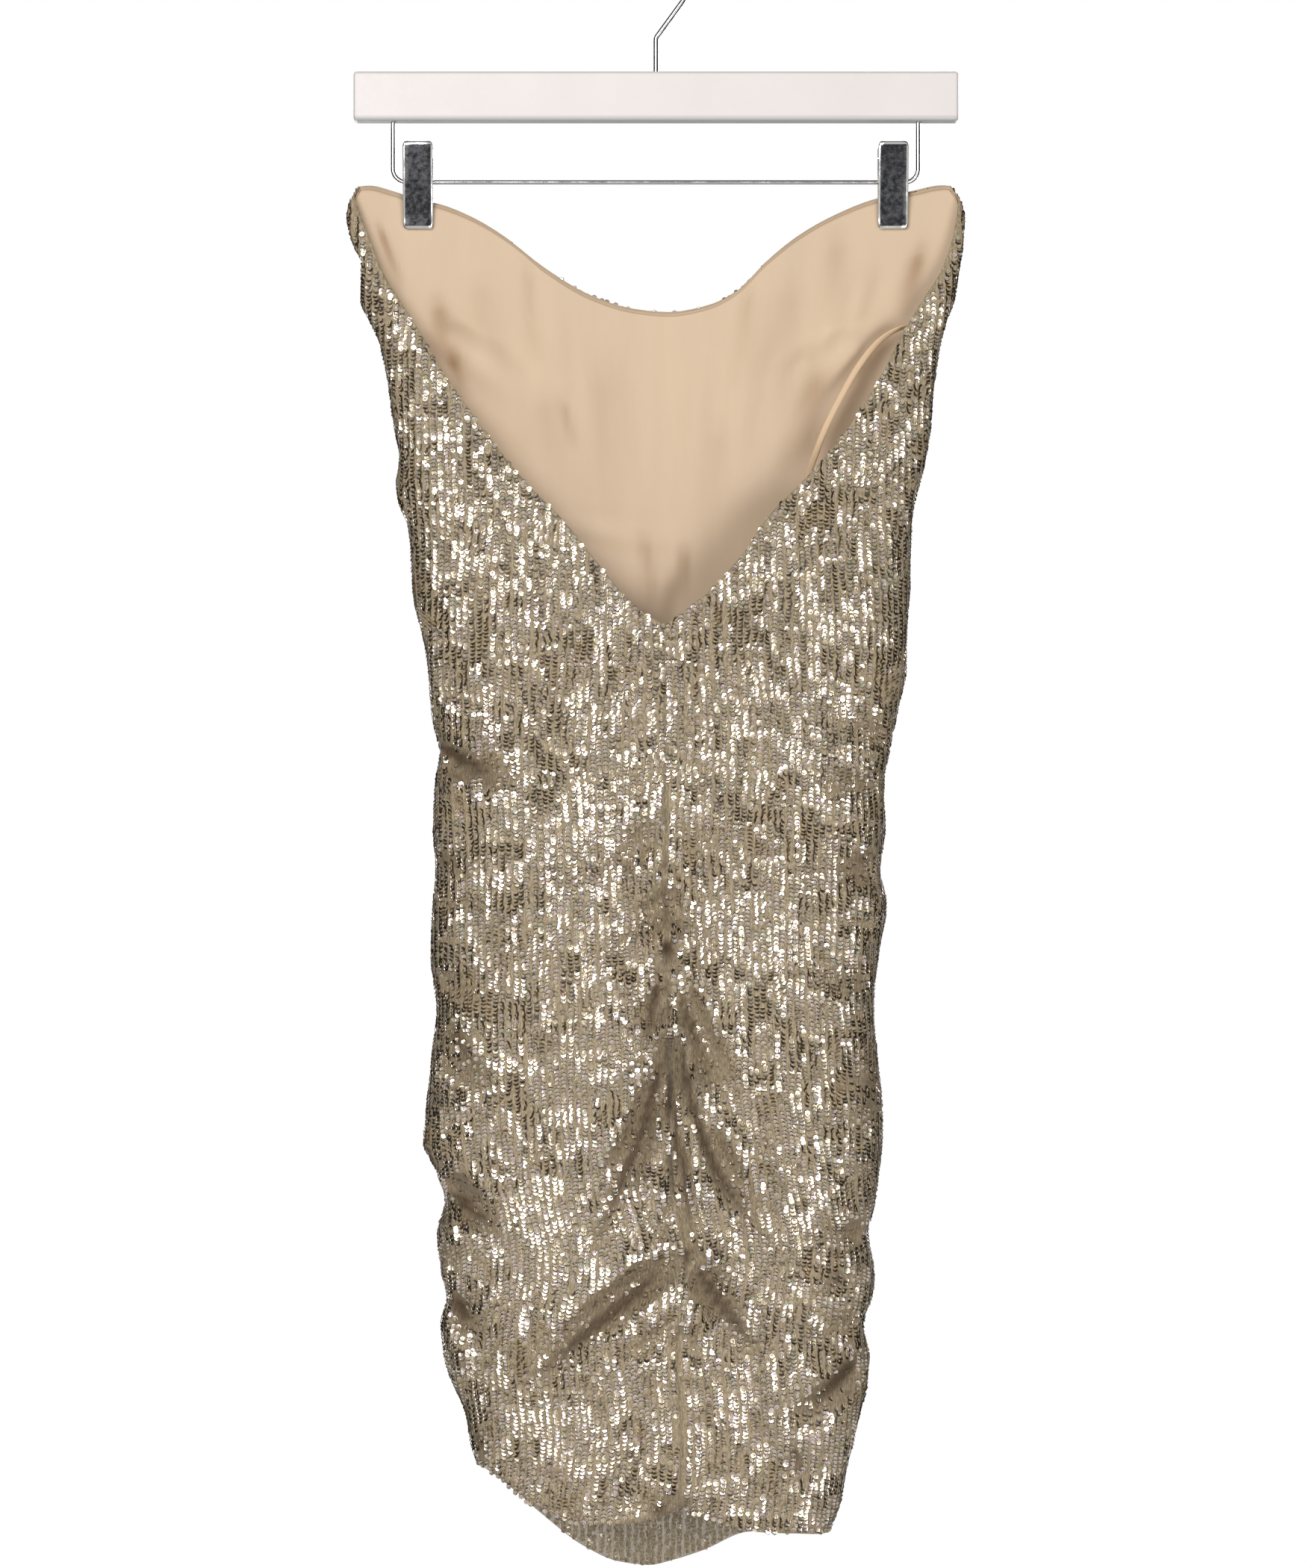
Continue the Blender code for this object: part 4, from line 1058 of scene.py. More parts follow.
def build_tint(number, red, green, blue, roughness):
    """One tint of the coating, rubbed a little duller in places."""
    made, tree, shader = new_material(f"sequin {number}", metallic=1.0)
    shader.inputs["Base Color"].default_value = (red, green, blue, 1)
    where = add(tree, "ShaderNodeTexCoord").outputs["Object"]
    rubbed = use_group(tree, BLOTCHES, where, size=2 * MM, contrast=1.5)
    duller = calculate(tree, "MULTIPLY", rubbed, 0.1)
    tree.links.new(calculate(tree, "ADD", duller, roughness), shader.inputs["Roughness"])
    return made


TINTS = [build_tint(k, *row[:4]) for k, row in enumerate(SEQUIN_TINTS)]


def build_stitch():
    """The thread that holds each sequin, with fuzz that catches the light unevenly."""
    made, tree, shader = new_material("stitch thread", base_color=(0.66, 0.55, 0.38))
    where = add(tree, "ShaderNodeTexCoord").outputs["Object"]
    fuzz = use_group(tree, BLOTCHES, where, size=0.6 * MM, contrast=2)
    tree.links.new(calculate(tree, "ADD", fuzz, 0.3), shader.inputs["Roughness"])
    return made


STITCH = build_stitch()


def build_painted_dark_lip():
    """The steep lip of a cup, painted near-black as a painted dark reflection of the room, and
    rougher in worn patches.
    """
    made, tree, shader = new_material("sequin lip painted dark", metallic=1.0, base_color=(0.05, 0.04, 0.03))
    where = add(tree, "ShaderNodeTexCoord").outputs["Object"]
    worn = use_group(tree, BLOTCHES, where, size=1.5 * MM, contrast=2)
    duller = calculate(tree, "MULTIPLY", worn, 0.2)
    tree.links.new(calculate(tree, "ADD", duller, 0.2), shader.inputs["Roughness"])
    return made


PAINTED_DARK_LIP = build_painted_dark_lip()
TINT_SHARES = np.array([row[4] for row in SEQUIN_TINTS]) / 100
print("tints:", len(TINTS))

# %% [markdown]
# ## The net panels
#
# Each panel of the dress is a thin shell on the form of its solid. A grid comes from
# one bmesh operator, its points are moved onto the cloth, and a Solidify modifier gives
# it a thread's thickness. The inner side of the bodice panels gets the lining's finish,
# because they are backed with it, and the skirt panels are net on both sides. A UV map
# keeps real distances: round the tube from the centre line, and down.

# %% From a grid to a shell
NET_THICKNESS = 0.5
NET_SINK = 0.5  # the net lies this far inside the solid's face, the sequins stand out of it


def to_object(name, mesh, materials):
    """A finished mesh as a piece that rides with the dress."""
    for material in materials:
        mesh.materials.append(material)
    made = bpy.data.objects.new(name, mesh)
    scene.collection.objects.link(made)
    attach(made, BODY)
    return made


def grid_mesh(name, points, uvs):
    """A smooth grid moved onto rows of points in millimetres, with its cloth UVs."""
    rows, columns = points.shape[:2]
    shape = bmesh.new()
    bmesh.ops.create_grid(shape, x_segments=columns - 1, y_segments=rows - 1, size=0.5)
    mesh = bpy.data.meshes.new(name)
    shape.to_mesh(mesh)
    shape.free()
    mesh.vertices.foreach_set("co", (points * MM).ravel())
    corner = np.zeros(len(mesh.loops), dtype=np.int32)
    mesh.loops.foreach_get("vertex_index", corner)
    layer = mesh.uv_layers.new(name="cloth")
    layer.data.foreach_set("uv", (uvs * MM).reshape(-1, 2)[corner].ravel())
    mesh.shade_smooth()
    mesh.update()
    return mesh


def thicken(piece, thickness, inner_slot=0):
    """Gives a sheet its thickness on the inner side."""
    wall = piece.modifiers.new("thickness", "SOLIDIFY")
    wall.thickness = thickness * MM
    wall.offset = -1
    wall.use_even_offset = False
    wall.material_offset = inner_slot
    wall.material_offset_rim = 0


# The net is darkened with painted shade on the flanks of folds, in their valleys and in clefts.
FLANK_FROM, FLANK_TO = 0.97, 0.80  # from square to the tube, to the side of a fold
VALLEY_FROM, VALLEY_TO = 0.6, 4.5  # how far in a fold's valley begins and is deepest
FLANK_SHADE_SHARE = 0.42  # how dark the painted shade on flanks and valleys is, next to a cleft
CLEFT_GAIN = 2.1  # a cleft fades towards its ends, and this keeps its middle bare of sequins and in full painted shade
FRONT_SHEER = 826.0  # below this drop the net has nothing behind it and is see-through
BACK_SHEER = 2000.0  # the back keeps its backing down to the hem


def valley(turn, drop, is_back):
    """1 at the bottom of a deep fold, 0 on plain cloth."""
    table = BACK_FOLDS + BACK_CREASES if is_back else FRONT_FOLDS + FRONT_CREASES
    return ramp(-folds(table, plain_ring(turn, drop)[0], drop), VALLEY_FROM, VALLEY_TO)


def cleft(turn, drop, is_back):
    """1 where the cloth closes on itself, 0 on plain cloth. Few sequins stay there, and the net gets
    painted shade.
    """
    table = BACK_CLEFTS if is_back else FRONT_CLEFTS
    return np.minimum(CLEFT_GAIN * ridges(table, plain_ring(turn, drop)[0], drop), 1)


def net_panel(node, turn, drop, is_back):
    """The net shell that stands for one panel's solid, with painted shade on its folds' flanks,
    valleys and clefts.
    """
    if turn[0, 0] > turn[0, -1]:  # its columns run the other way, and its faces would too
        turn, drop = turn[:, ::-1], drop[:, ::-1]
    points = read(PLACES, turn, drop) - NET_SINK * unit(read(OUTWARDS, turn, drop))
    uvs = np.stack([from_centre(turn, drop, is_back), -drop], axis=-1)
    mesh = grid_mesh(node, points, uvs)
    # Painted shade on flanks, valleys and clefts, kept as an attribute that the net's colour reads.
    painted_fold_shade = ramp(-squareness(turn, drop), -FLANK_FROM, -FLANK_TO)
    painted_fold_shade = FLANK_SHADE_SHARE * np.maximum(painted_fold_shade, valley(turn, drop, is_back))
    painted_fold_shade = np.maximum(painted_fold_shade, cleft(turn, drop, is_back))
    mesh.attributes.new("painted_fold_shade", "FLOAT", "POINT").data.foreach_set("value", painted_fold_shade.ravel())
    middles = (drop[:-1, :-1] + drop[1:, 1:]) / 2
    slots = np.where(middles > (BACK_SHEER if is_back else FRONT_SHEER), 2, 0)
    mesh.polygons.foreach_set("material_index", slots.ravel().astype(np.int32))
    inner = NET if "skirt" in node else SATIN
    piece = to_object(f"net_{node}", mesh, [NET, inner, SHEER_NET, SHEER_NET])
    thicken(piece, NET_THICKNESS, inner_slot=1)
    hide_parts(node)
    return piece


def rows_between(tops, bottoms, rows):
    down = np.linspace(0, 1, rows + 1)[:, None]
    return tops[None, :] * (1 - down) + bottoms[None, :] * down


# %% The front panels
FRONT_COLUMNS = 80
FRONT_BODICE_ROWS, FRONT_SKIRT_ROWS = 52, 88
FRONT_TURNS = np.linspace(0, HALF_TURN, FRONT_COLUMNS + 1)
front_neck = drop_on_edge(FRONT_TURNS, NECK_SPAN, below_neckline)
front_waist = drop_on_edge(FRONT_TURNS, WAIST_SPAN, below_waist(False))
front_hem = drop_on_edge(FRONT_TURNS, HEM_SPAN, below_hem(False))
for node, top, bottom, rows in (
    ("front_bodice", front_neck, front_waist, FRONT_BODICE_ROWS),
    ("front_skirt", front_waist, front_hem, FRONT_SKIRT_ROWS),
):
    front_drop = rows_between(top, bottom, rows)
    net_panel(node, np.broadcast_to(FRONT_TURNS, front_drop.shape), front_drop, False)


# %% The back panels
WING_COLUMNS, REST_COLUMNS = 26, 30
WING_ROWS, BACK_BODICE_ROWS, BACK_SKIRT_ROWS = 36, 48, 112


def back_panels(side, side_turn, below_edge, junction_x):
    """The wing, bodice and skirt of one half of the back."""
    junction_turn = turn_at(junction_x, smooth(WING_SEAM, junction_x), True)
    middle_turn = turn_at(CENTRE_X, smooth(WAIST_SEAM, CENTRE_X), True)
    wing_turns = np.linspace(side_turn, junction_turn, WING_COLUMNS + 1)
    rest_turns = np.linspace(junction_turn, middle_turn, REST_COLUMNS + 1)[1:]
    turns = np.concatenate([wing_turns, rest_turns])

    wing_tops = drop_on_edge(wing_turns, V_SPAN, below_edge)
    wing_tops[0] = UNDERARM_DROP
    seam = drop_on_edge(wing_turns, WING_SPAN, below_wing_seam)
    wing_tops = np.minimum(wing_tops, seam - WING_TIP)
    drop = rows_between(wing_tops, seam, WING_ROWS)
    net_panel(f"back_wing_{side}", np.broadcast_to(wing_turns, drop.shape), drop, True)

    rest_tops = drop_on_edge(rest_turns, V_SPAN, below_edge)
    waist = drop_on_edge(turns, WAIST_SPAN, below_waist(True))
    drop = rows_between(np.concatenate([seam, rest_tops]), waist, BACK_BODICE_ROWS)
    net_panel(f"back_bodice_{side}", np.broadcast_to(turns, drop.shape), drop, True)

    hem = drop_on_edge(turns, HEM_SPAN, below_hem(True))
    drop = rows_between(waist, hem, BACK_SKIRT_ROWS)
    share = (turns - side_turn) / (middle_turn - side_turn)
    centre = centre_turn(drop, True)
    net_panel(f"back_skirt_{side}", side_turn + (centre - side_turn) * share, drop, True)


back_panels("left", FULL_TURN, below_left_edge, JUNCTION_LEFT)
back_panels("right", HALF_TURN, below_right_edge, JUNCTION_RIGHT)

# %% [markdown]
# ## The lining
#
# The satin lining hangs from the neck, inside the front. It is cut a little larger
# than the front, so below its sewn edge it falls in soft upright folds. It is made from
# the front's own points, moved inwards by the folds of the solid and by finer creases.

# %% The lining of the front
LINING_THICKNESS = 0.4
LINING_COLUMNS, LINING_ROWS = 120, 88
CREASE_SHARE, CREASE_LIMIT = 0.6, 2.0  # how much of a crease the loose satin takes up
HOLLOW_DEPTH = 1.6
LEAST_INSET = 0.1


def lining_inset(x, drop):
    """How far the lining stands in from the sequin cloth."""
    loose = ramp(drop, LINING_FREE_FROM, LINING_FREE_FROM + LINING_FREE_RUN)
    raised = np.minimum(ridges(LINING_FOLDS, x, drop), LINING_MAX_RIDGE)
    creased = np.minimum(ridges(LINING_CREASES, x, drop), CREASE_LIMIT)
    raised = raised - CREASE_SHARE * creased
    raised = raised - HOLLOW_DEPTH * ridges(LINING_HOLLOWS, x, drop)
    return SEAM_GAP + loose * np.maximum(LINING_SLACK + raised, LEAST_INSET)


def front_lining():
    turns = np.linspace(0, HALF_TURN, LINING_COLUMNS + 1)
    neck = drop_on_edge(turns, NECK_SPAN, below_neckline) + LINING_STEP
    waist = drop_on_edge(turns, WAIST_SPAN, below_waist(False))
    drop = rows_between(neck, waist, LINING_ROWS)
    turn = np.broadcast_to(turns, drop.shape)
    outer = read(PLACES, turn, drop)
    normal = unit(read(OUTWARDS, turn, drop))
    inset = WALL + LINING_WALL + lining_inset(outer[..., 0], drop)
    points = (outer - inset[..., None] * normal)[:, ::-1]
    uvs = np.stack([from_centre(turn, drop, False), -drop], axis=-1)[:, ::-1]
    mesh = grid_mesh("satin_lining_front", points, uvs)
    # The painted shade of the hollows, kept as an attribute.
    painted_hollow_shade = np.clip(ridges(LINING_HOLLOWS, outer[..., 0], drop), 0, 1)[:, ::-1]
    below = np.broadcast_to(drop - neck, drop.shape)[:, ::-1]
    mesh.attributes.new("painted_hollow_shade", "FLOAT", "POINT").data.foreach_set("value", painted_hollow_shade.ravel())
    mesh.attributes.new("below_edge", "FLOAT", "POINT").data.foreach_set("value", below.ravel())
    piece = to_object("satin_lining_front", mesh, [SATIN])
    thicken(piece, LINING_THICKNESS)
    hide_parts("lining_front")


front_lining()

# %% [markdown]
# ## Sequins
#
# A cupped sequin is a small shallow dish with a hole in its middle, held by a stitch
# that runs from the hole down over its rim. One is made with bmesh operators. It is
# then repeated by arrays: every copy gets a place on the cloth and three directions.
# The copies of one area are joined in one mesh, so that the dress has a few pieces and
# not forty thousand.
#
# What makes the cloth glitter is how the sequins lean. Neighbours on one thread lean
# almost alike, so they flash or stay dark together in short runs, while the next row
# does something else. Smooth noise read along each row gives those runs.

# %% One sequin
SEQUIN_RADIUS = 1.85
SEQUIN_RIM = 0.44  # the width of the rim, which curves up from the flat middle
SEQUIN_CUP = 0.3
SEQUIN_FACETS = 6
SEQUIN_LIFT = 0.35  # from the net to the sequin's middle
RIM_TURN = math.radians(50)  # how far the dish has curved inwards at its lip
DISH_TURN = math.radians(5)  # and all round its flat middle
STITCH_WIDTH = 0.34
STITCH_TO = 1.7  # how far the stitch reaches from the middle
STITCH_LIFT = 0.1
LIP_FROM = 0.3  # the lip is the part of the rim past this, towards the next sequin
RIM_FROM = -0.3  # and the rim turns up from here


def one_sequin():
    """Points, normals, the corners of every face in turn, their counts, and which are the lip.

    The lip is the half of the rim that laps over the next sequin.
    """
    shape = bmesh.new()
    bmesh.ops.create_circle(shape, cap_ends=True, segments=SEQUIN_FACETS, radius=SEQUIN_RADIUS)
    bmesh.ops.inset_individual(
        shape, faces=shape.faces[:], thickness=SEQUIN_RIM, depth=-SEQUIN_CUP
    )
    stitch = bmesh.ops.create_grid(shape, x_segments=1, y_segments=1, size=0.5)["verts"]
    bmesh.ops.scale(shape, vec=(STITCH_WIDTH, STITCH_TO, 1), verts=stitch)
    bmesh.ops.translate(shape, vec=(0, -STITCH_TO / 2, STITCH_LIFT), verts=stitch)
    shape.verts.index_update()
    points = np.array([v.co[:] for v in shape.verts])
    corners = np.array([v.index for face in shape.faces for v in face.verts])
    counts = np.array([len(face.verts) for face in shape.faces])
    shape.free()
    ends = counts.cumsum()
    middles = np.array(
        [points[corners[end - count : end]].mean(0) for count, end in zip(counts, ends)]
    )
    lip = (middles[:, 1] > LIP_FROM) & (counts == 4)
    away = np.hypot(points[:, 0], points[:, 1])
    steep = (away > SEQUIN_RADIUS - 0.1) & (points[:, 1] > RIM_FROM)
    turn = np.where(steep, RIM_TURN, DISH_TURN)
    turn[-4:] = 0
    inwards = -points[:, :2] / away[:, None] * np.sin(turn)[:, None]
    normals = np.concatenate([inwards, np.cos(turn)[:, None]], axis=1)
    return points, normals, corners, counts, lip


CUP_POINTS, CUP_NORMALS, CUP_CORNERS, CUP_COUNTS, CUP_LIP = one_sequin()
CUP_TRIANGLES = (CUP_COUNTS - 2).sum()
print("one sequin:", len(CUP_POINTS), "points,", CUP_TRIANGLES, "triangles")

# %% Smooth noise
NOISE_SIZE = 256


def soft_noise(across, down, seed):
    """A smooth random value, mostly between -1 and 1. Its bumps are one unit wide."""
    values = np.random.default_rng(seed).uniform(-1.5, 1.5, (NOISE_SIZE, NOISE_SIZE))
    column, row = np.floor(across).astype(int), np.floor(down).astype(int)
    s, t = across - column, down - row
    s, t = s * s * (3 - 2 * s), t * t * (3 - 2 * t)
    first, second = values[row % NOISE_SIZE], values[(row + 1) % NOISE_SIZE]
    count = np.arange(len(column))
    left, right = column % NOISE_SIZE, (column + 1) % NOISE_SIZE
    upper = first[count, left] * (1 - s) + first[count, right] * s
    lower = second[count, left] * (1 - s) + second[count, right] * s
    return upper * (1 - t) + lower * t


# %% Where the sequins are sewn
ROW_STEP = 2.4
COLUMN_STEP = 4.2
EDGE_MARGIN = 0.6
CENTRE_GAP = 0.9  # kept clear on each side of the centre back seam
PALE_GAP = 2.6  # and near the hem
PALE_FROM, PALE_FULL = 736.0, 752.0
FACING_STRIP = 2.4  # the bare strip along the upper edges of the V
FACING_FROM, FACING_TO = 62.0, 92.0
WAVER = 0.7  # how far a row strays from its line
SWAY = 1.6  # how far the rows sway together
OWN_DROP, OWN_SHIFT = 0.2, 0.35  # how far each strays on its own, down and sideways
RING_HALVINGS = 22
PHASES = 400  # one for each upright row, so that neighbours don't line up


def turn_on_ring(distance, drop):
    """The turn at a distance round the tube, found by halving."""
    low, high = np.zeros(len(drop)), np.full(len(drop), FULL_TURN)
    for _ in range(RING_HALVINGS):
        middle = (low + high) / 2
        beyond = read(ROUND, middle, drop) > distance
        low, high = np.where(beyond, low, middle), np.where(beyond, middle, high)
    return (low + high) / 2


def sewn_places(is_back):
    """Turn, drop, distance from the centre line and row number of every place."""
    start, end = (HALF_TURN, FULL_TURN) if is_back else (0.0, HALF_TURN)
    found = []
    for level in np.arange(-1.0, 876.0, ROW_STEP):
        round_here = ROUND[int(round((level - LEVELS[0]) / LEVEL_STEP))]
        middle = np.interp(centre_turn(np.array(level), is_back), ALL_TURNS, round_here)
        low = np.interp(start, ALL_TURNS, round_here) - middle
        high = np.interp(end, ALL_TURNS, round_here) - middle
        columns = np.arange(math.ceil(low / COLUMN_STEP), math.floor(high / COLUMN_STEP) + 1)
        along = (columns + 0.5 * is_back) * COLUMN_STEP
        inside = (along > low + EDGE_MARGIN) & (along < high - EDGE_MARGIN)
        found.append((along[inside], np.full(inside.sum(), level), columns[inside]))
    along, drop, column = (np.concatenate(kind) for kind in zip(*found))
    phase = chance.random(PHASES)[column + PHASES // 2]
    drop = drop + ROW_STEP * phase + chance.normal(0, OWN_DROP, len(drop))
    seed = 31 if is_back else 41
    along = along + WAVER * soft_noise(column * 0.9, drop / 26, seed)
    along = along + SWAY * soft_noise(along / 60, drop / 70, seed + 1)
    along = along + chance.normal(0, OWN_SHIFT, len(along))
    turn = turn_on_ring(read(ROUND, centre_turn(drop, is_back), drop) + along, drop)
    return turn, drop, along, column


# %% Which places hold a sequin
TOP_MARGIN = 1.8
PEEK_FROM, PEEK_TO = 50.0, 62.0  # below this drop the front's top row shows over the edge
THIN_FROM, THIN_FULL = 0.74, 0.93  # how squarely the cloth must face out to be well covered
THINNEST = 0.4
MISSING = 0.03
VALLEY_BARE = 0.3  # and how many are out of sight at the bottom of a deep fold
CLEFT_BARE = 0.9


def on_panels(x, drop, is_back):
    """True for places on the cloth, between its open edges."""
    above_hem = drop < smooth(HEM, x, 1 if is_back else 2) - EDGE_MARGIN
    if not is_back:
        neck = smooth(NECKLINE, x)
        return above_hem & (drop > neck + TOP_MARGIN * (1 - ramp(neck, PEEK_FROM, PEEK_TO)))
    left, right = smooth(V_EDGES, drop, 1), smooth(V_EDGES, drop, 2)
    margin = EDGE_MARGIN + FACING_STRIP * (1 - ramp(drop, FACING_FROM, FACING_TO))
    beside = (x < left - margin) | (x > right + margin)
    return above_hem & (drop > UNDERARM_DROP) & (beside | (drop > V_POINT_DROP + 1))


def well_covered(turn, drop, is_back):
    """The share of places that keep their sequin. On the flanks of folds few do."""
    facing = squareness(turn, drop)
    patchy = 0.05 * soft_noise(turn * 20, drop / 24, 51 + is_back)
    share = THINNEST + (1 - THINNEST) * ramp(facing + patchy, THIN_FROM, THIN_FULL)
    share = share * (1 - VALLEY_BARE * valley(turn, drop, is_back))
    return (1 - MISSING) * share * (1 - CLEFT_BARE * cleft(turn, drop, is_back))


# %% Joined sequins
ROW_TILT = math.radians(12)  # how far sequins lean together along one row
LAP_TILT = math.radians(7)  # at least this far, so that each laps over the next
AREA_TILT = math.radians(7)  # how far they lean together over a patch of cloth
OWN_TILT = math.radians(4)  # and each on its own
AREA_STEEPER = 0.45  # in some patches all lean more and few flash, in others less
LIP_SHADE = 0.8  # most of them have their lip painted near-black, as a painted dark reflection


def tilts(along, drop, column, seed):
    """The lean of every sequin, down or up and then left or right."""
    leans = []
    for k in range(2):
        row = soft_noise(column * 0.62, drop / 11, seed + 3 * k)
        area = soft_noise(along / 18, drop / 18, seed + 3 * k + 1)
        own = chance.normal(0, 1, len(drop))
        steeper = 1 + AREA_STEEPER * soft_noise(along / 34, drop / 34, seed + 11)
        leans.append((ROW_TILT * row + AREA_TILT * area) * steeper + OWN_TILT * own)
        if k == 0:
            leans[0] += LAP_TILT * np.tanh(6 * row)
    return leans


def sequin_mesh(name, turn, drop, along, column, seed):
    """Every sequin of one area, joined in one mesh from arrays."""
    count = len(turn)
    outward = unit(read(OUTWARDS, turn, drop))
    place = read(PLACES, turn, drop) + (SEQUIN_LIFT - NET_SINK) * outward
    down = unit(np.array((0.0, 0.0, -1.0)) + outward * outward[:, 2:3])
    across = np.cross(down, outward)
    tilt, roll = tilts(along, drop, column, seed)
    facing = unit(outward + down * np.tan(tilt)[:, None] + across * np.tan(roll)[:, None])
    side = unit(np.cross(down, facing))
    up = np.cross(facing, side)
    turned = np.where(tilt > 0, -1.0, 1.0)[:, None]  # the lip is the edge that leans out
    side, up = side * turned, up * turned
    axes = np.stack([side, up, facing], axis=1)
    points = place[:, None, :] + np.einsum("pk,nkc->npc", CUP_POINTS, axes)
    normals = np.einsum("pk,nkc->npc", CUP_NORMALS, axes)
    corners = CUP_CORNERS[None] + (np.arange(count) * len(CUP_POINTS))[:, None]
    starts = np.concatenate([[0], np.cumsum(CUP_COUNTS)[:-1]])
    starts = starts[None] + (np.arange(count) * len(CUP_CORNERS))[:, None]
    mesh = bpy.data.meshes.new(name)
    mesh.vertices.add(count * len(CUP_POINTS))
    mesh.vertices.foreach_set("co", (points * MM).ravel())
    mesh.loops.add(corners.size)
    mesh.loops.foreach_set("vertex_index", corners.ravel().astype(np.int32))
    mesh.polygons.add(starts.size)
    mesh.polygons.foreach_set("loop_start", starts.ravel().astype(np.int32))
    for tint in [*TINTS, STITCH, PAINTED_DARK_LIP]:
        mesh.materials.append(tint)
    dealt = chance.choice(len(TINTS), size=count, p=TINT_SHARES)
    kinds = np.repeat(dealt[:, None], len(CUP_COUNTS), axis=1)
    kinds[:, -1] = len(TINTS)  # the last face is the stitch
    # Most lips get the painted dark reflection, in runs along the rows.
    dark = soft_noise(column * 0.7, drop / 14, seed + 9) < LIP_SHADE
    kinds[dark[:, None] & CUP_LIP[None]] = len(TINTS) + 1
    mesh.polygons.foreach_set("material_index", kinds.ravel().astype(np.int32))
    mesh.update(calc_edges=True)
    mesh.shade_smooth()
    mesh.normals_split_custom_set_from_vertices(normals.reshape(-1, 3))
    return mesh


# %% Sequins of each area
SEWN = {}  # the sequin pieces of each panel


def sew(name, node, kept, seed, chosen):
    """The sequins of one area as a piece."""
    mesh = sequin_mesh(name, *(values[chosen] for values in kept), seed)
    piece = to_object(name, mesh, [])
    SEWN.setdefault(node, []).append(piece)
    print(f"{name}: {chosen.sum()} sequins, {chosen.sum() * CUP_TRIANGLES} triangles")


def sew_all():
    for is_back in (True, False):
        turn, drop, along, column = sewn_places(is_back)
        x = plain_ring(turn, drop)[0]
        keep = on_panels(x, drop, is_back)
        keep &= chance.random(len(turn)) < well_covered(turn, drop, is_back)
        if is_back:
            gap = CENTRE_GAP + (PALE_GAP - CENTRE_GAP) * ramp(drop, PALE_FROM, PALE_FULL)
            keep &= np.abs(along) > gap
        kept = [values[keep] for values in (turn, drop, along, column)]
        x = x[keep]
        upper = kept[1] < smooth(WAIST_SEAM, x, 1 if is_back else 2)
        face = "back" if is_back else "front"
        for side, here in (("left", x < CENTRE_X), ("right", x >= CENTRE_X)):
            owner = f"_{side}" if is_back else ""
            seed = 60 if is_back else 80
            sew(f"sequins_{face}_bodice_{side}", f"{face}_bodice{owner}", kept, seed, here & upper)
            sew(f"sequins_{face}_skirt_{side}", f"{face}_skirt{owner}", kept, seed, here & ~upper)


sew_all()

# %% [markdown]
# ## The ribbon loop
#
# A narrow satin ribbon is sewn into the right side seam by both ends, to hang the
# dress up by. It dangles inside the dress, and its upper run shows against the lining.
# It is a strip that follows the solid's own path, twisting as it goes.

# %% The ribbon's path
RIBBON_WIDTH = 4.2
RIBBON_THICKNESS = 0.5
RIBBON_SEAT = 1.5
RIBBON_END_Y = -10.0
RIBBON_ENDS = (99.0, 122.0)
RIBBON_POINTS = 90
RIBBON_LIFT = 0.3
RIBBON_CURL = 0.35  # how far its edges curl up
LOOP_PATH = (
    # x, y, drop, twist in degrees from facing the viewer
    (168, -11, 93, 75),
    (158, -11.5, 91, 65),
    (147, -11.5, 95, 50),
    (137, -12, 103, 30),
    (126, -12.5, 117, 10),
    (116, -12.5, 134, 0),
    (107, -12.5, 152, 0),
    (100, -12.5, 170, 0),
    (93.5, -12.5, 190, 0),
    (90, -12.5, 215, 0),
    (92, -12.5, 236, 0),
    (101, -12.5, 246, 0),
    (112, -12.5, 240, 0),
    (120, -12.5, 220, 0),
    (130, -12.5, 190, 0),
    (142, -12, 160, 20),
    (157, -11.5, 136, 60),
)


def curve_through(points, count):
    """Points read evenly from a smooth curve through a short list of points."""
    points = np.array(points, float)
    ends = [2 * points[0] - points[1], 2 * points[-1] - points[-2]]
    padded = np.vstack([ends[0], points, ends[1]])
    made = []
    for place in np.linspace(0, len(points) - 1 - 1e-9, count):
        k = int(place)
        t = place - k
        a, b, c, d = padded[k : k + 4]
        made.append(
            0.5
            * (
                2 * b
                + (c - a) * t
                + (2 * a - 5 * b + 4 * c - d) * t**2
                + (3 * b - a - 3 * c + d) * t**3
            )
        )
    return np.array(made)


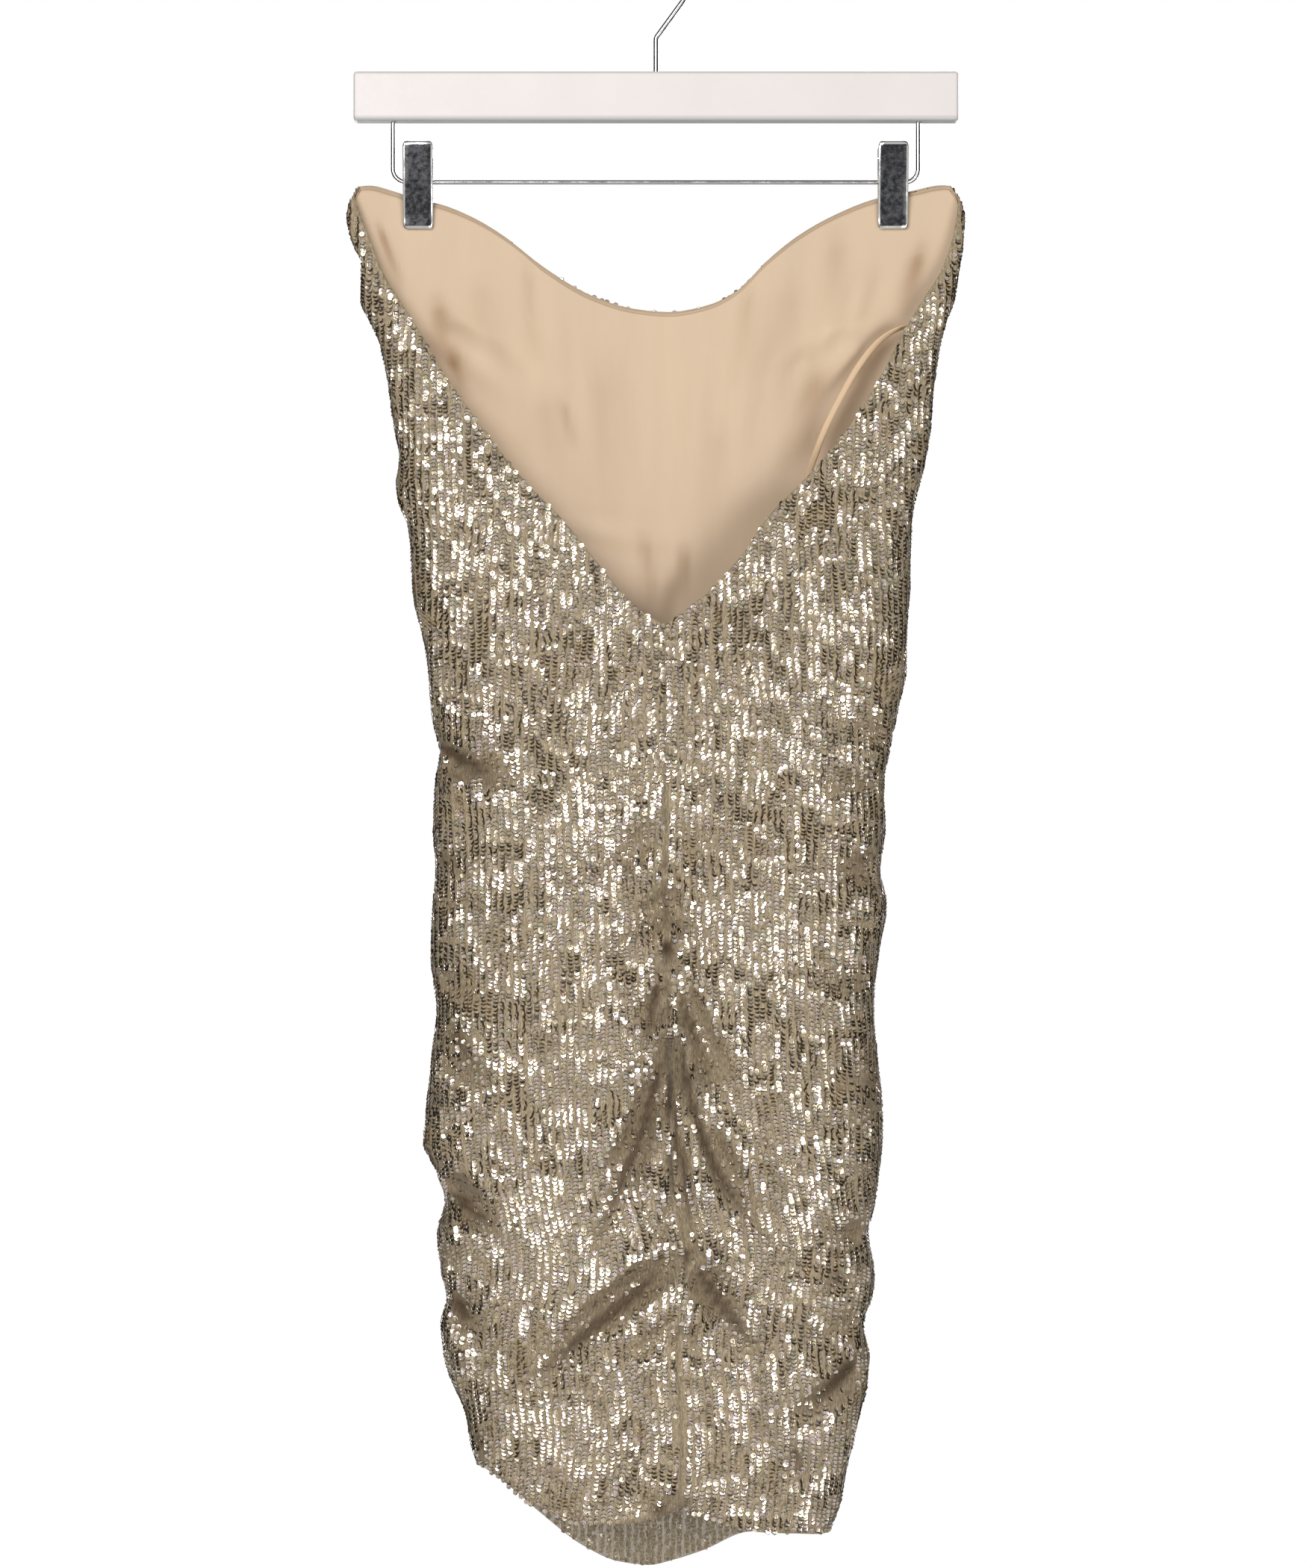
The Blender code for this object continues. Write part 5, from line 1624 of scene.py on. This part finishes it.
# %% The ribbon
def ribbon_loop():
    ends = [
        (smooth(OUTLINE, drop, 2) - WALL - RIBBON_SEAT, RIBBON_END_Y, drop, 80)
        for drop in RIBBON_ENDS
    ]
    path = curve_through([ends[0], *LOOP_PATH, ends[1]], RIBBON_POINTS)
    points = np.stack([path[:, 0], path[:, 1], DRESS_TOP - path[:, 2]], axis=1)
    along = unit(np.gradient(points, axis=0))
    twist = np.radians(path[:, 3])[:, None]
    to_viewer = unit(np.array((0, -1, 0)) - along * (along @ (0, -1, 0))[:, None])
    sideways = np.cross(along, to_viewer)
    across = sideways * np.cos(twist) + to_viewer * np.sin(twist)
    facing = np.cross(along, across)
    share = np.linspace(-0.5, 0.5, 5)
    curl = RIBBON_CURL * (2 * np.abs(share)) ** 2
    strip = (
        points[:, None]
        + across[:, None] * (share * RIBBON_WIDTH)[None, :, None]
        + facing[:, None] * (RIBBON_LIFT + curl)[None, :, None]
    )
    length = np.concatenate([[0], np.cumsum(np.linalg.norm(np.diff(points, axis=0), axis=1))])
    uvs = np.stack(np.broadcast_arrays(share[None] * RIBBON_WIDTH, -length[:, None]), axis=-1)
    piece = to_object("ribbon_loop", grid_mesh("ribbon_loop", strip, uvs), [RIBBON])
    thicken(piece, RIBBON_THICKNESS)
    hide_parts("hanging_loop")
    print("ribbon:", round(length[-1]), "mm long")


ribbon_loop()

# %% [markdown]
# ## The hanger
#
# The bar's solid is right as it is and only gets its paint. The hook, the trouser wire
# and the clips are chrome, where a coarse facet would show at once in the reflections,
# so rounder ones stand for their solids.

# %% Chrome and paint
def build_chrome(name, colour, smudge):
    made, tree, shader = new_material(name, metallic=1.0, roughness=0.1)
    shader.inputs["Base Color"].default_value = (*colour, 1)
    where = add(tree, "ShaderNodeTexCoord").outputs["Object"]
    haze = use_group(tree, BLOTCHES, where, size=7 * MM, contrast=2.6)
    amount = calculate(tree, "MULTIPLY", haze, smudge)
    tree.links.new(calculate(tree, "ADD", amount, 0.05), shader.inputs["Roughness"])
    return made


PAINT_SHADE = (0.67, 0.655, 0.635)
PAINT_LIGHT = (0.72, 0.705, 0.685)
PAINT_EDGE_SHADE = (0.43, 0.46, 0.45)
EDGE_SHADE_HEIGHT = 3.6  # millimetres of the bar's lower edge painted greyer, as painted shade under its rounding


def build_paint():
    made, tree, shader = new_material("white paint", roughness=0.4)
    where = add(tree, "ShaderNodeTexCoord").outputs["Object"]
    tone = use_group(tree, BLOTCHES, where, size=45 * MM, contrast=1.4)
    fine = use_group(tree, BLOTCHES, where, size=3 * MM, contrast=1.6)
    mixed = blend_colours(tree, tone, PAINT_SHADE, PAINT_LIGHT)
    # Painted shade: the paint greys towards the bar's lower edge.
    split = tree.nodes.new("ShaderNodeSeparateXYZ")
    tree.links.new(where, split.inputs[0])
    rise = calculate(tree, "SUBTRACT", split.outputs[2], float(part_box("hanger_bar")[0][2]))
    rise = calculate(tree, "MAXIMUM", rise, 0.0)
    above_edge_shade = calculate(tree, "MINIMUM", calculate(tree, "DIVIDE", rise, EDGE_SHADE_HEIGHT * MM), 1.0)
    mixed = blend_colours(tree, calculate(tree, "POWER", above_edge_shade, 2.0), PAINT_EDGE_SHADE, mixed)
    tree.links.new(mixed, shader.inputs["Base Color"])
    rough = calculate(tree, "MULTIPLY", fine, 0.15)
    tree.links.new(calculate(tree, "ADD", rough, 0.33), shader.inputs["Roughness"])
    bump(tree, shader, fine, 0.03 * MM)
    return made


CHROME = build_chrome("chrome", (0.62, 0.63, 0.65), 0.22)
PAINT = build_paint()
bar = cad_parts["hanger_bar"]
for slot in bar.material_slots:
    slot.material = PAINT


# %% The hook and the wire
HOOK_WIRE = 3.2
HOOK_RADIUS = 20.0
HOOK_RISE = 56.0
HOOK_SHANK = 22.0
HOOK_BEND = 5.0
HOOK_END_ANGLE = 202.0
HOOK_DEPTH = 18.0
BAR_HEIGHT = 31.0
FRAME_WIRE = 2.8
FRAME_LEFT = -165.5
FRAME_RIGHT = 165.0
FRAME_BEND = 8.5
FRAME_DROP = -1.6
FRAME_DEPTH = 10.0


def wire(name, node, points, diameter):
    """A round wire along points in millimetres, in place of its solid."""
    curve = bpy.data.curves.new(name, "CURVE")
    curve.dimensions = "3D"
    curve.bevel_depth = diameter / 2 * MM
    curve.bevel_resolution = 6
    curve.use_fill_caps = True
    spline = curve.splines.new("POLY")
    spline.points.add(len(points) - 1)
    for knot, point in zip(spline.points, points):
        knot.co = (*(np.array(point) * MM), 1)
    curve.materials.append(CHROME)
    made = bpy.data.objects.new(name, curve)
    scene.collection.objects.link(made)
    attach(made, BODY)
    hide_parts(node)
    return made


def arc(centre_x, centre_z, radius, start, end, count):
    """Points along an arc in the plane of the hanger, angles in degrees."""
    angles = np.radians(np.linspace(start, end, count))
    return [
        (centre_x + radius * math.cos(a), 0.0, centre_z + radius * math.sin(a))
        for a in angles
    ]


def hook_points():
    """Up out of the bar, out to the right, and round over the rail to the left."""
    centre_z = BAR_TOP + HOOK_RISE
    bend_z = BAR_TOP + HOOK_SHANK
    lean = math.degrees(math.asin(HOOK_RADIUS / (centre_z - bend_z)))
    straight = HOOK_BEND * math.tan(math.radians(lean / 2))
    points = [(0, 0, BAR_TOP - HOOK_DEPTH), (0, 0, BAR_TOP), (0, 0, bend_z - straight)]
    points += arc(HOOK_BEND, bend_z - straight, HOOK_BEND, 180, 180 - lean, 12)[1:]
    return points + arc(0, centre_z, HOOK_RADIUS, -lean, HOOK_END_ANGLE, 72)


def wire_points():
    """Down from the bar, along, and up to the bar again."""
    level = DRESS_TOP - FRAME_DROP
    top = BAR_TOP - BAR_HEIGHT + FRAME_DEPTH
    corner = level + FRAME_BEND
    points = [(FRAME_LEFT, 0, top), (FRAME_LEFT, 0, BAR_TOP - BAR_HEIGHT)]
    points += arc(FRAME_LEFT + FRAME_BEND, corner, FRAME_BEND, 180, 270, 20)
    points += arc(FRAME_RIGHT - FRAME_BEND, corner, FRAME_BEND, 270, 360, 20)
    return points + [(FRAME_RIGHT, 0, BAR_TOP - BAR_HEIGHT), (FRAME_RIGHT, 0, top)]


wire("round_hook", "hanger_hook", hook_points(), HOOK_WIRE)
wire("round_trouser_wire", "hanger_wire", wire_points(), FRAME_WIRE)

# %% [markdown]
# ## The clips
#
# A clip is two pressed steel plates on the wire, held shut by a coil spring. Each plate
# has rounded corners and a narrow lip turned back all round, which shows as a bright
# chrome line round the face. The face is painted near-black, as a painted dark
# reflection of the room, with paler finger smudges. Two ears on each plate have a hole
# for the wire. The plate nearer the viewer bears on the lining and the other on the front.

# %% Clip sizes, from the solids
CLIP_LEFT, CLIP_RIGHT = -149.5, 149.0
CLIP_WIDTH = 18.5
CLIP_TOP = -25.5
CLIP_BOTTOM = 27.5
CLIP_PLATE = 1.2
JAW_THUMB = 9.2  # from the middle plane to the plate, at the end that is squeezed
JAW_WAIST = 6.4
JAW_BEND = 7.0
JAW_FLARE = 0.6
OUTER_JAW_FACE = 2.1
INNER_JAW_FACE = 1.5
CHEEK_WALL = 1.0
CHEEK_ROOT = 5.8
CHEEK_HEIGHT = 9.0
CHEEK_REACH = 3.2
CHEEK_HOLE = 1.75
SPRING_RADIUS = 3.4
SPRING_WIRE = 1.1
SPRING_PITCH = 1.3
SPRING_LEG = 9.0
SPRING_SPLAY = 2.25  # how far out each leg leans
CORNER_RADIUS = 2.6
LIP_WIDTH = 1.2
LIP_BACK = 0.3
PLATE_COLUMNS = 7

# %% Clip finish
# The face's colours: near-black as a painted dark reflection, and a paler one for finger smudges.
FACE_PAINTED_DARK = (0.048, 0.051, 0.056)
FACE_PALE = (0.095, 0.098, 0.102)


def build_clip_face_painted_dark():
    """Chrome painted near-black as a painted dark reflection, with paler finger smudges and fine
    wear.
    """
    made, tree, shader = new_material("clip face painted dark", metallic=1.0)
    where = add(tree, "ShaderNodeTexCoord").outputs["Object"]
    smudges = use_group(tree, BLOTCHES, where, size=3 * MM, contrast=2.6)
    wear = use_group(tree, BLOTCHES, where, size=0.8 * MM, contrast=2.5)
    amount = calculate(tree, "MULTIPLY", smudges, wear)
    tree.links.new(blend_colours(tree, amount, FACE_PAINTED_DARK, FACE_PALE), shader.inputs["Base Color"])
    rough = calculate(tree, "MULTIPLY", smudges, 0.3)
    tree.links.new(calculate(tree, "ADD", rough, 0.08), shader.inputs["Roughness"])
    return made


CLIP_FACE_PAINTED_DARK = build_clip_face_painted_dark()
CLIP_LIP = build_chrome("clip lip", (0.92, 0.92, 0.93), 0.12)

# %% One jaw
def turned_out(points, faces, direction):
    """The faces, each the other way round if the first one looks against a direction."""
    a, b, c = (np.array(points[k]) for k in faces[0][:3])
    if np.dot(np.cross(b - a, c - a), direction) < 0:
        return [face[::-1] for face in faces]
    return faces


def plate_rows():
    """Drop and half width of every row of a plate, narrower at its rounded corners."""
    angles = np.radians((0, 30, 60, 90))
    inset = CORNER_RADIUS * (1 - np.cos(angles))
    narrower = CORNER_RADIUS * (1 - np.sin(angles))
    middle = np.array((-14, FRAME_DROP - 2, FRAME_DROP, FRAME_DROP + 2, 10, 18.5, 20.5, 22.5))
    drop = np.concatenate([CLIP_TOP + inset, middle, (CLIP_BOTTOM - inset)[::-1]])
    half = CLIP_WIDTH / 2 - np.concatenate([narrower, 0 * middle, narrower[::-1]])
    return drop, half


def plate(x, facing):
    """Points, faces and material slots of a plate: 0 is its face and 1 its lip."""
    tip = CLIP_PLATE + (OUTER_JAW_FACE if facing > 0 else INNER_JAW_FACE)
    drop, half = plate_rows()
    stand = np.interp(
        drop,
        (CLIP_TOP, FRAME_DROP, CLIP_BOTTOM - JAW_BEND, CLIP_BOTTOM),
        (JAW_THUMB, JAW_WAIST, tip + JAW_FLARE, tip),
    )
    inner_half = np.minimum(half, CLIP_WIDTH / 2 - LIP_WIDTH)
    share = np.linspace(-1, 1, PLATE_COLUMNS)[None, :]
    across = np.hstack([-half[:, None], inner_half[:, None] * share, half[:, None]])
    back = np.zeros_like(across)
    back[[0, -1]] = back[:, 0] = back[:, -1] = LIP_BACK
    y = facing * (stand[:, None] - back)
    z = np.broadcast_to(DRESS_TOP - drop[:, None], across.shape)
    points = np.stack([x + across, y, z], axis=-1)
    rows, columns = across.shape
    faces, slots = [], []
    for row in range(rows - 1):
        for column in range(columns - 1):
            k = row * columns + column
            faces.append((k, k + 1, k + columns + 1, k + columns))
            edge = row < 2 or row > rows - 4 or column in (0, columns - 2)
            slots.append(int(edge))
    points = points.reshape(-1, 3).tolist()
    return points, turned_out(points, faces, (0, facing, 0)), slots


def ear(x, facing, side):
    """A rounded ear round the wire's hole, as a ring of faces."""
    angles = np.radians(np.arange(0, 360, 10) + 5)
    c, s = np.cos(angles), np.sin(angles)
    round_end = CHEEK_HEIGHT / 2
    middle = round_end - CHEEK_REACH
    curved = middle * c + np.sqrt(round_end**2 - (middle * s) ** 2)
    straight = np.minimum(CHEEK_ROOT / np.maximum(c, 1e-6), round_end / np.abs(s))
    reach = np.where(curved * c < middle, curved, straight)
    level = DRESS_TOP - FRAME_DROP
    points = []
    for radius in (reach, np.full(len(c), CHEEK_HOLE)):
        points += [(x, facing * r * a, level + r * b) for r, a, b in zip(radius, c, s)]
    count = len(c)
    faces = []
    for k in range(count):
        following = (k + 1) % count
        faces.append((k, following, count + following, count + k))
    return points, turned_out(points, faces, (side, 0, 0)), [1] * count


def jaw(name, node, x, facing, cheek_offset):
    """A jaw as one piece: its plate and both ears, given the steel's thickness."""
    points, faces, slots = plate(x, facing)
    for side in (-1, 1):
        more = ear(x + side * (cheek_offset + CHEEK_WALL / 2), facing, side)
        faces += [tuple(k + len(points) for k in face) for face in more[1]]
        points += more[0]
        slots += more[2]
    mesh = bpy.data.meshes.new(name)
    mesh.from_pydata((np.array(points) * MM).tolist(), [], faces)
    mesh.polygons.foreach_set("material_index", slots)
    mesh.shade_smooth()
    piece = to_object(name, mesh, [CLIP_FACE_PAINTED_DARK, CLIP_LIP])
    thicken(piece, CHEEK_WALL)
    piece.modifiers["thickness"].material_offset_rim = 1
    rounding = piece.modifiers.new("rounding", "BEVEL")
    rounding.width = 0.25 * MM
    rounding.segments = 2
    rounding.limit_method = "ANGLE"
    rounding.angle_limit = math.radians(50)
    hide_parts(node)


# %% The clips
def coil_points(x, length):
    """A spring round the wire, with an end that bears on each plate."""
    level = DRESS_TOP - FRAME_DROP
    radius = SPRING_RADIUS - SPRING_WIRE / 2
    run = length - SPRING_WIRE
    turns = math.floor(run / SPRING_PITCH) + 0.5
    angles = np.linspace(0, turns, int(turns * 18) + 1) * FULL_TURN
    along = x - run / 2 + run * angles / angles[-1]
    points = list(zip(along, -radius * np.cos(angles), level - radius * np.sin(angles)))
    first = (along[0], -radius - SPRING_SPLAY, level + SPRING_LEG)
    last = (along[-1], radius + SPRING_SPLAY, level + SPRING_LEG)
    return [first, *points, last]


def clips():
    outer_cheek = CLIP_WIDTH / 2 - CHEEK_WALL / 2
    inner_cheek = outer_cheek - CHEEK_WALL - SEAM_GAP
    length = 2 * (inner_cheek - CHEEK_WALL / 2 - SEAM_GAP)
    for side, x in (("left", CLIP_LEFT), ("right", CLIP_RIGHT)):
        jaw(f"inner_plate_{side}", f"clip_{side}_inner_jaw", x, -1, outer_cheek)
        jaw(f"outer_plate_{side}", f"clip_{side}_outer_jaw", x, 1, inner_cheek)
        wire(f"coil_{side}", f"clip_{side}_spring", coil_points(x, length), SPRING_WIRE)
    print("clips:", 2 * len(plate_rows()[0]), "rows of plate, springs", round(length, 1), "mm long")


clips()

# %% [markdown]
# ## The studio
#
# The picture has a white ground. The sequins need something to reflect: bright soft
# lamps to flash, and a dim room between them to stay dark against. So the world is
# white where the camera looks straight at it and dim grey in every reflection.

# %% World, floor and lamps
FLOOR_DROP = 0.29  # from the lowest hem to the floor
FLOOR_RADIUS = 1.1
LAMP_TINT = (1.0, 0.95, 0.96)
ROOM_GREY = 0.5  # the room before and behind the dress
ROOM_DARK = 0.02  # and beside, above and below it
ROOM_EDGE = (0.45, 0.75)  # where it turns dark, as a share along Y


def studio():
    world = bpy.data.worlds.new("studio")
    scene.world = world
    world.use_nodes = True
    tree = world.node_tree
    tree.nodes.clear()
    output = tree.nodes.new("ShaderNodeOutputWorld")
    choose = tree.nodes.new("ShaderNodeMixShader")
    seen = add(tree, "ShaderNodeBackground", {"Color": (1, 1, 1, 1), "Strength": 1.0})
    room = add(tree, "ShaderNodeBackground", {"Color": (1.0, 0.97, 0.92, 1)})
    split = tree.nodes.new("ShaderNodeSeparateXYZ")
    tree.links.new(add(tree, "ShaderNodeTexCoord").outputs["Generated"], split.inputs[0])
    ahead = add(tree, "ShaderNodeMapRange", {"From Min": ROOM_EDGE[0], "From Max": ROOM_EDGE[1]})
    ahead.inputs["To Min"].default_value = ROOM_DARK
    ahead.inputs["To Max"].default_value = ROOM_GREY
    tree.links.new(calculate(tree, "ABSOLUTE", split.outputs["Y"]), ahead.inputs["Value"])
    tree.links.new(ahead.outputs[0], room.inputs["Strength"])
    path = tree.nodes.new("ShaderNodeLightPath")
    tree.links.new(path.outputs["Is Camera Ray"], choose.inputs[0])
    tree.links.new(room.outputs[0], choose.inputs[1])
    tree.links.new(seen.outputs[0], choose.inputs[2])
    tree.links.new(choose.outputs[0], output.inputs[0])


def lamp(name, place, size, watts):
    """A soft lamp aimed at the middle of the dress."""
    data = bpy.data.lights.new(name, "AREA")
    data.shape = "RECTANGLE"
    data.size, data.size_y = size
    data.energy = watts
    data.color = LAMP_TINT
    made = bpy.data.objects.new(name, data)
    made.location = place
    made.rotation_euler = (IMAGE_CENTRE - Vector(place)).to_track_quat("-Z", "Y").to_euler()
    scene.collection.objects.link(made)


def floor():
    shape = bmesh.new()
    bmesh.ops.create_circle(shape, cap_ends=True, segments=96, radius=FLOOR_RADIUS)
    low = CAD_BOX[0][2] - FLOOR_DROP
    bmesh.ops.translate(shape, vec=(0, 0, low), verts=shape.verts)
    mesh = bpy.data.meshes.new("floor")
    shape.to_mesh(mesh)
    shape.free()
    made, tree, shader = new_material("pale floor", base_color=(0.82, 0.82, 0.81))
    where = add(tree, "ShaderNodeTexCoord").outputs["Object"]
    scuffs = use_group(tree, BLOTCHES, where, size=120 * MM, contrast=1.2)
    dull = calculate(tree, "MULTIPLY", scuffs, 0.2)
    tree.links.new(calculate(tree, "ADD", dull, 0.65), shader.inputs["Roughness"])
    mesh.materials.append(made)
    ground = bpy.data.objects.new("floor", mesh)
    scene.collection.objects.link(ground)


studio()
floor()
lamp("key", (-0.9, -2.3, 0.35), (1.25, 1.2), 41)
lamp("fill", (1.0, -2.25, -1.05), (1.05, 1.0), 25)
lamp("front key", (0.9, 2.3, 0.35), (1.25, 1.2), 38)
lamp("front fill", (-1.0, 2.25, -1.05), (1.05, 1.0), 23)
scene.view_settings.view_transform = "Standard"
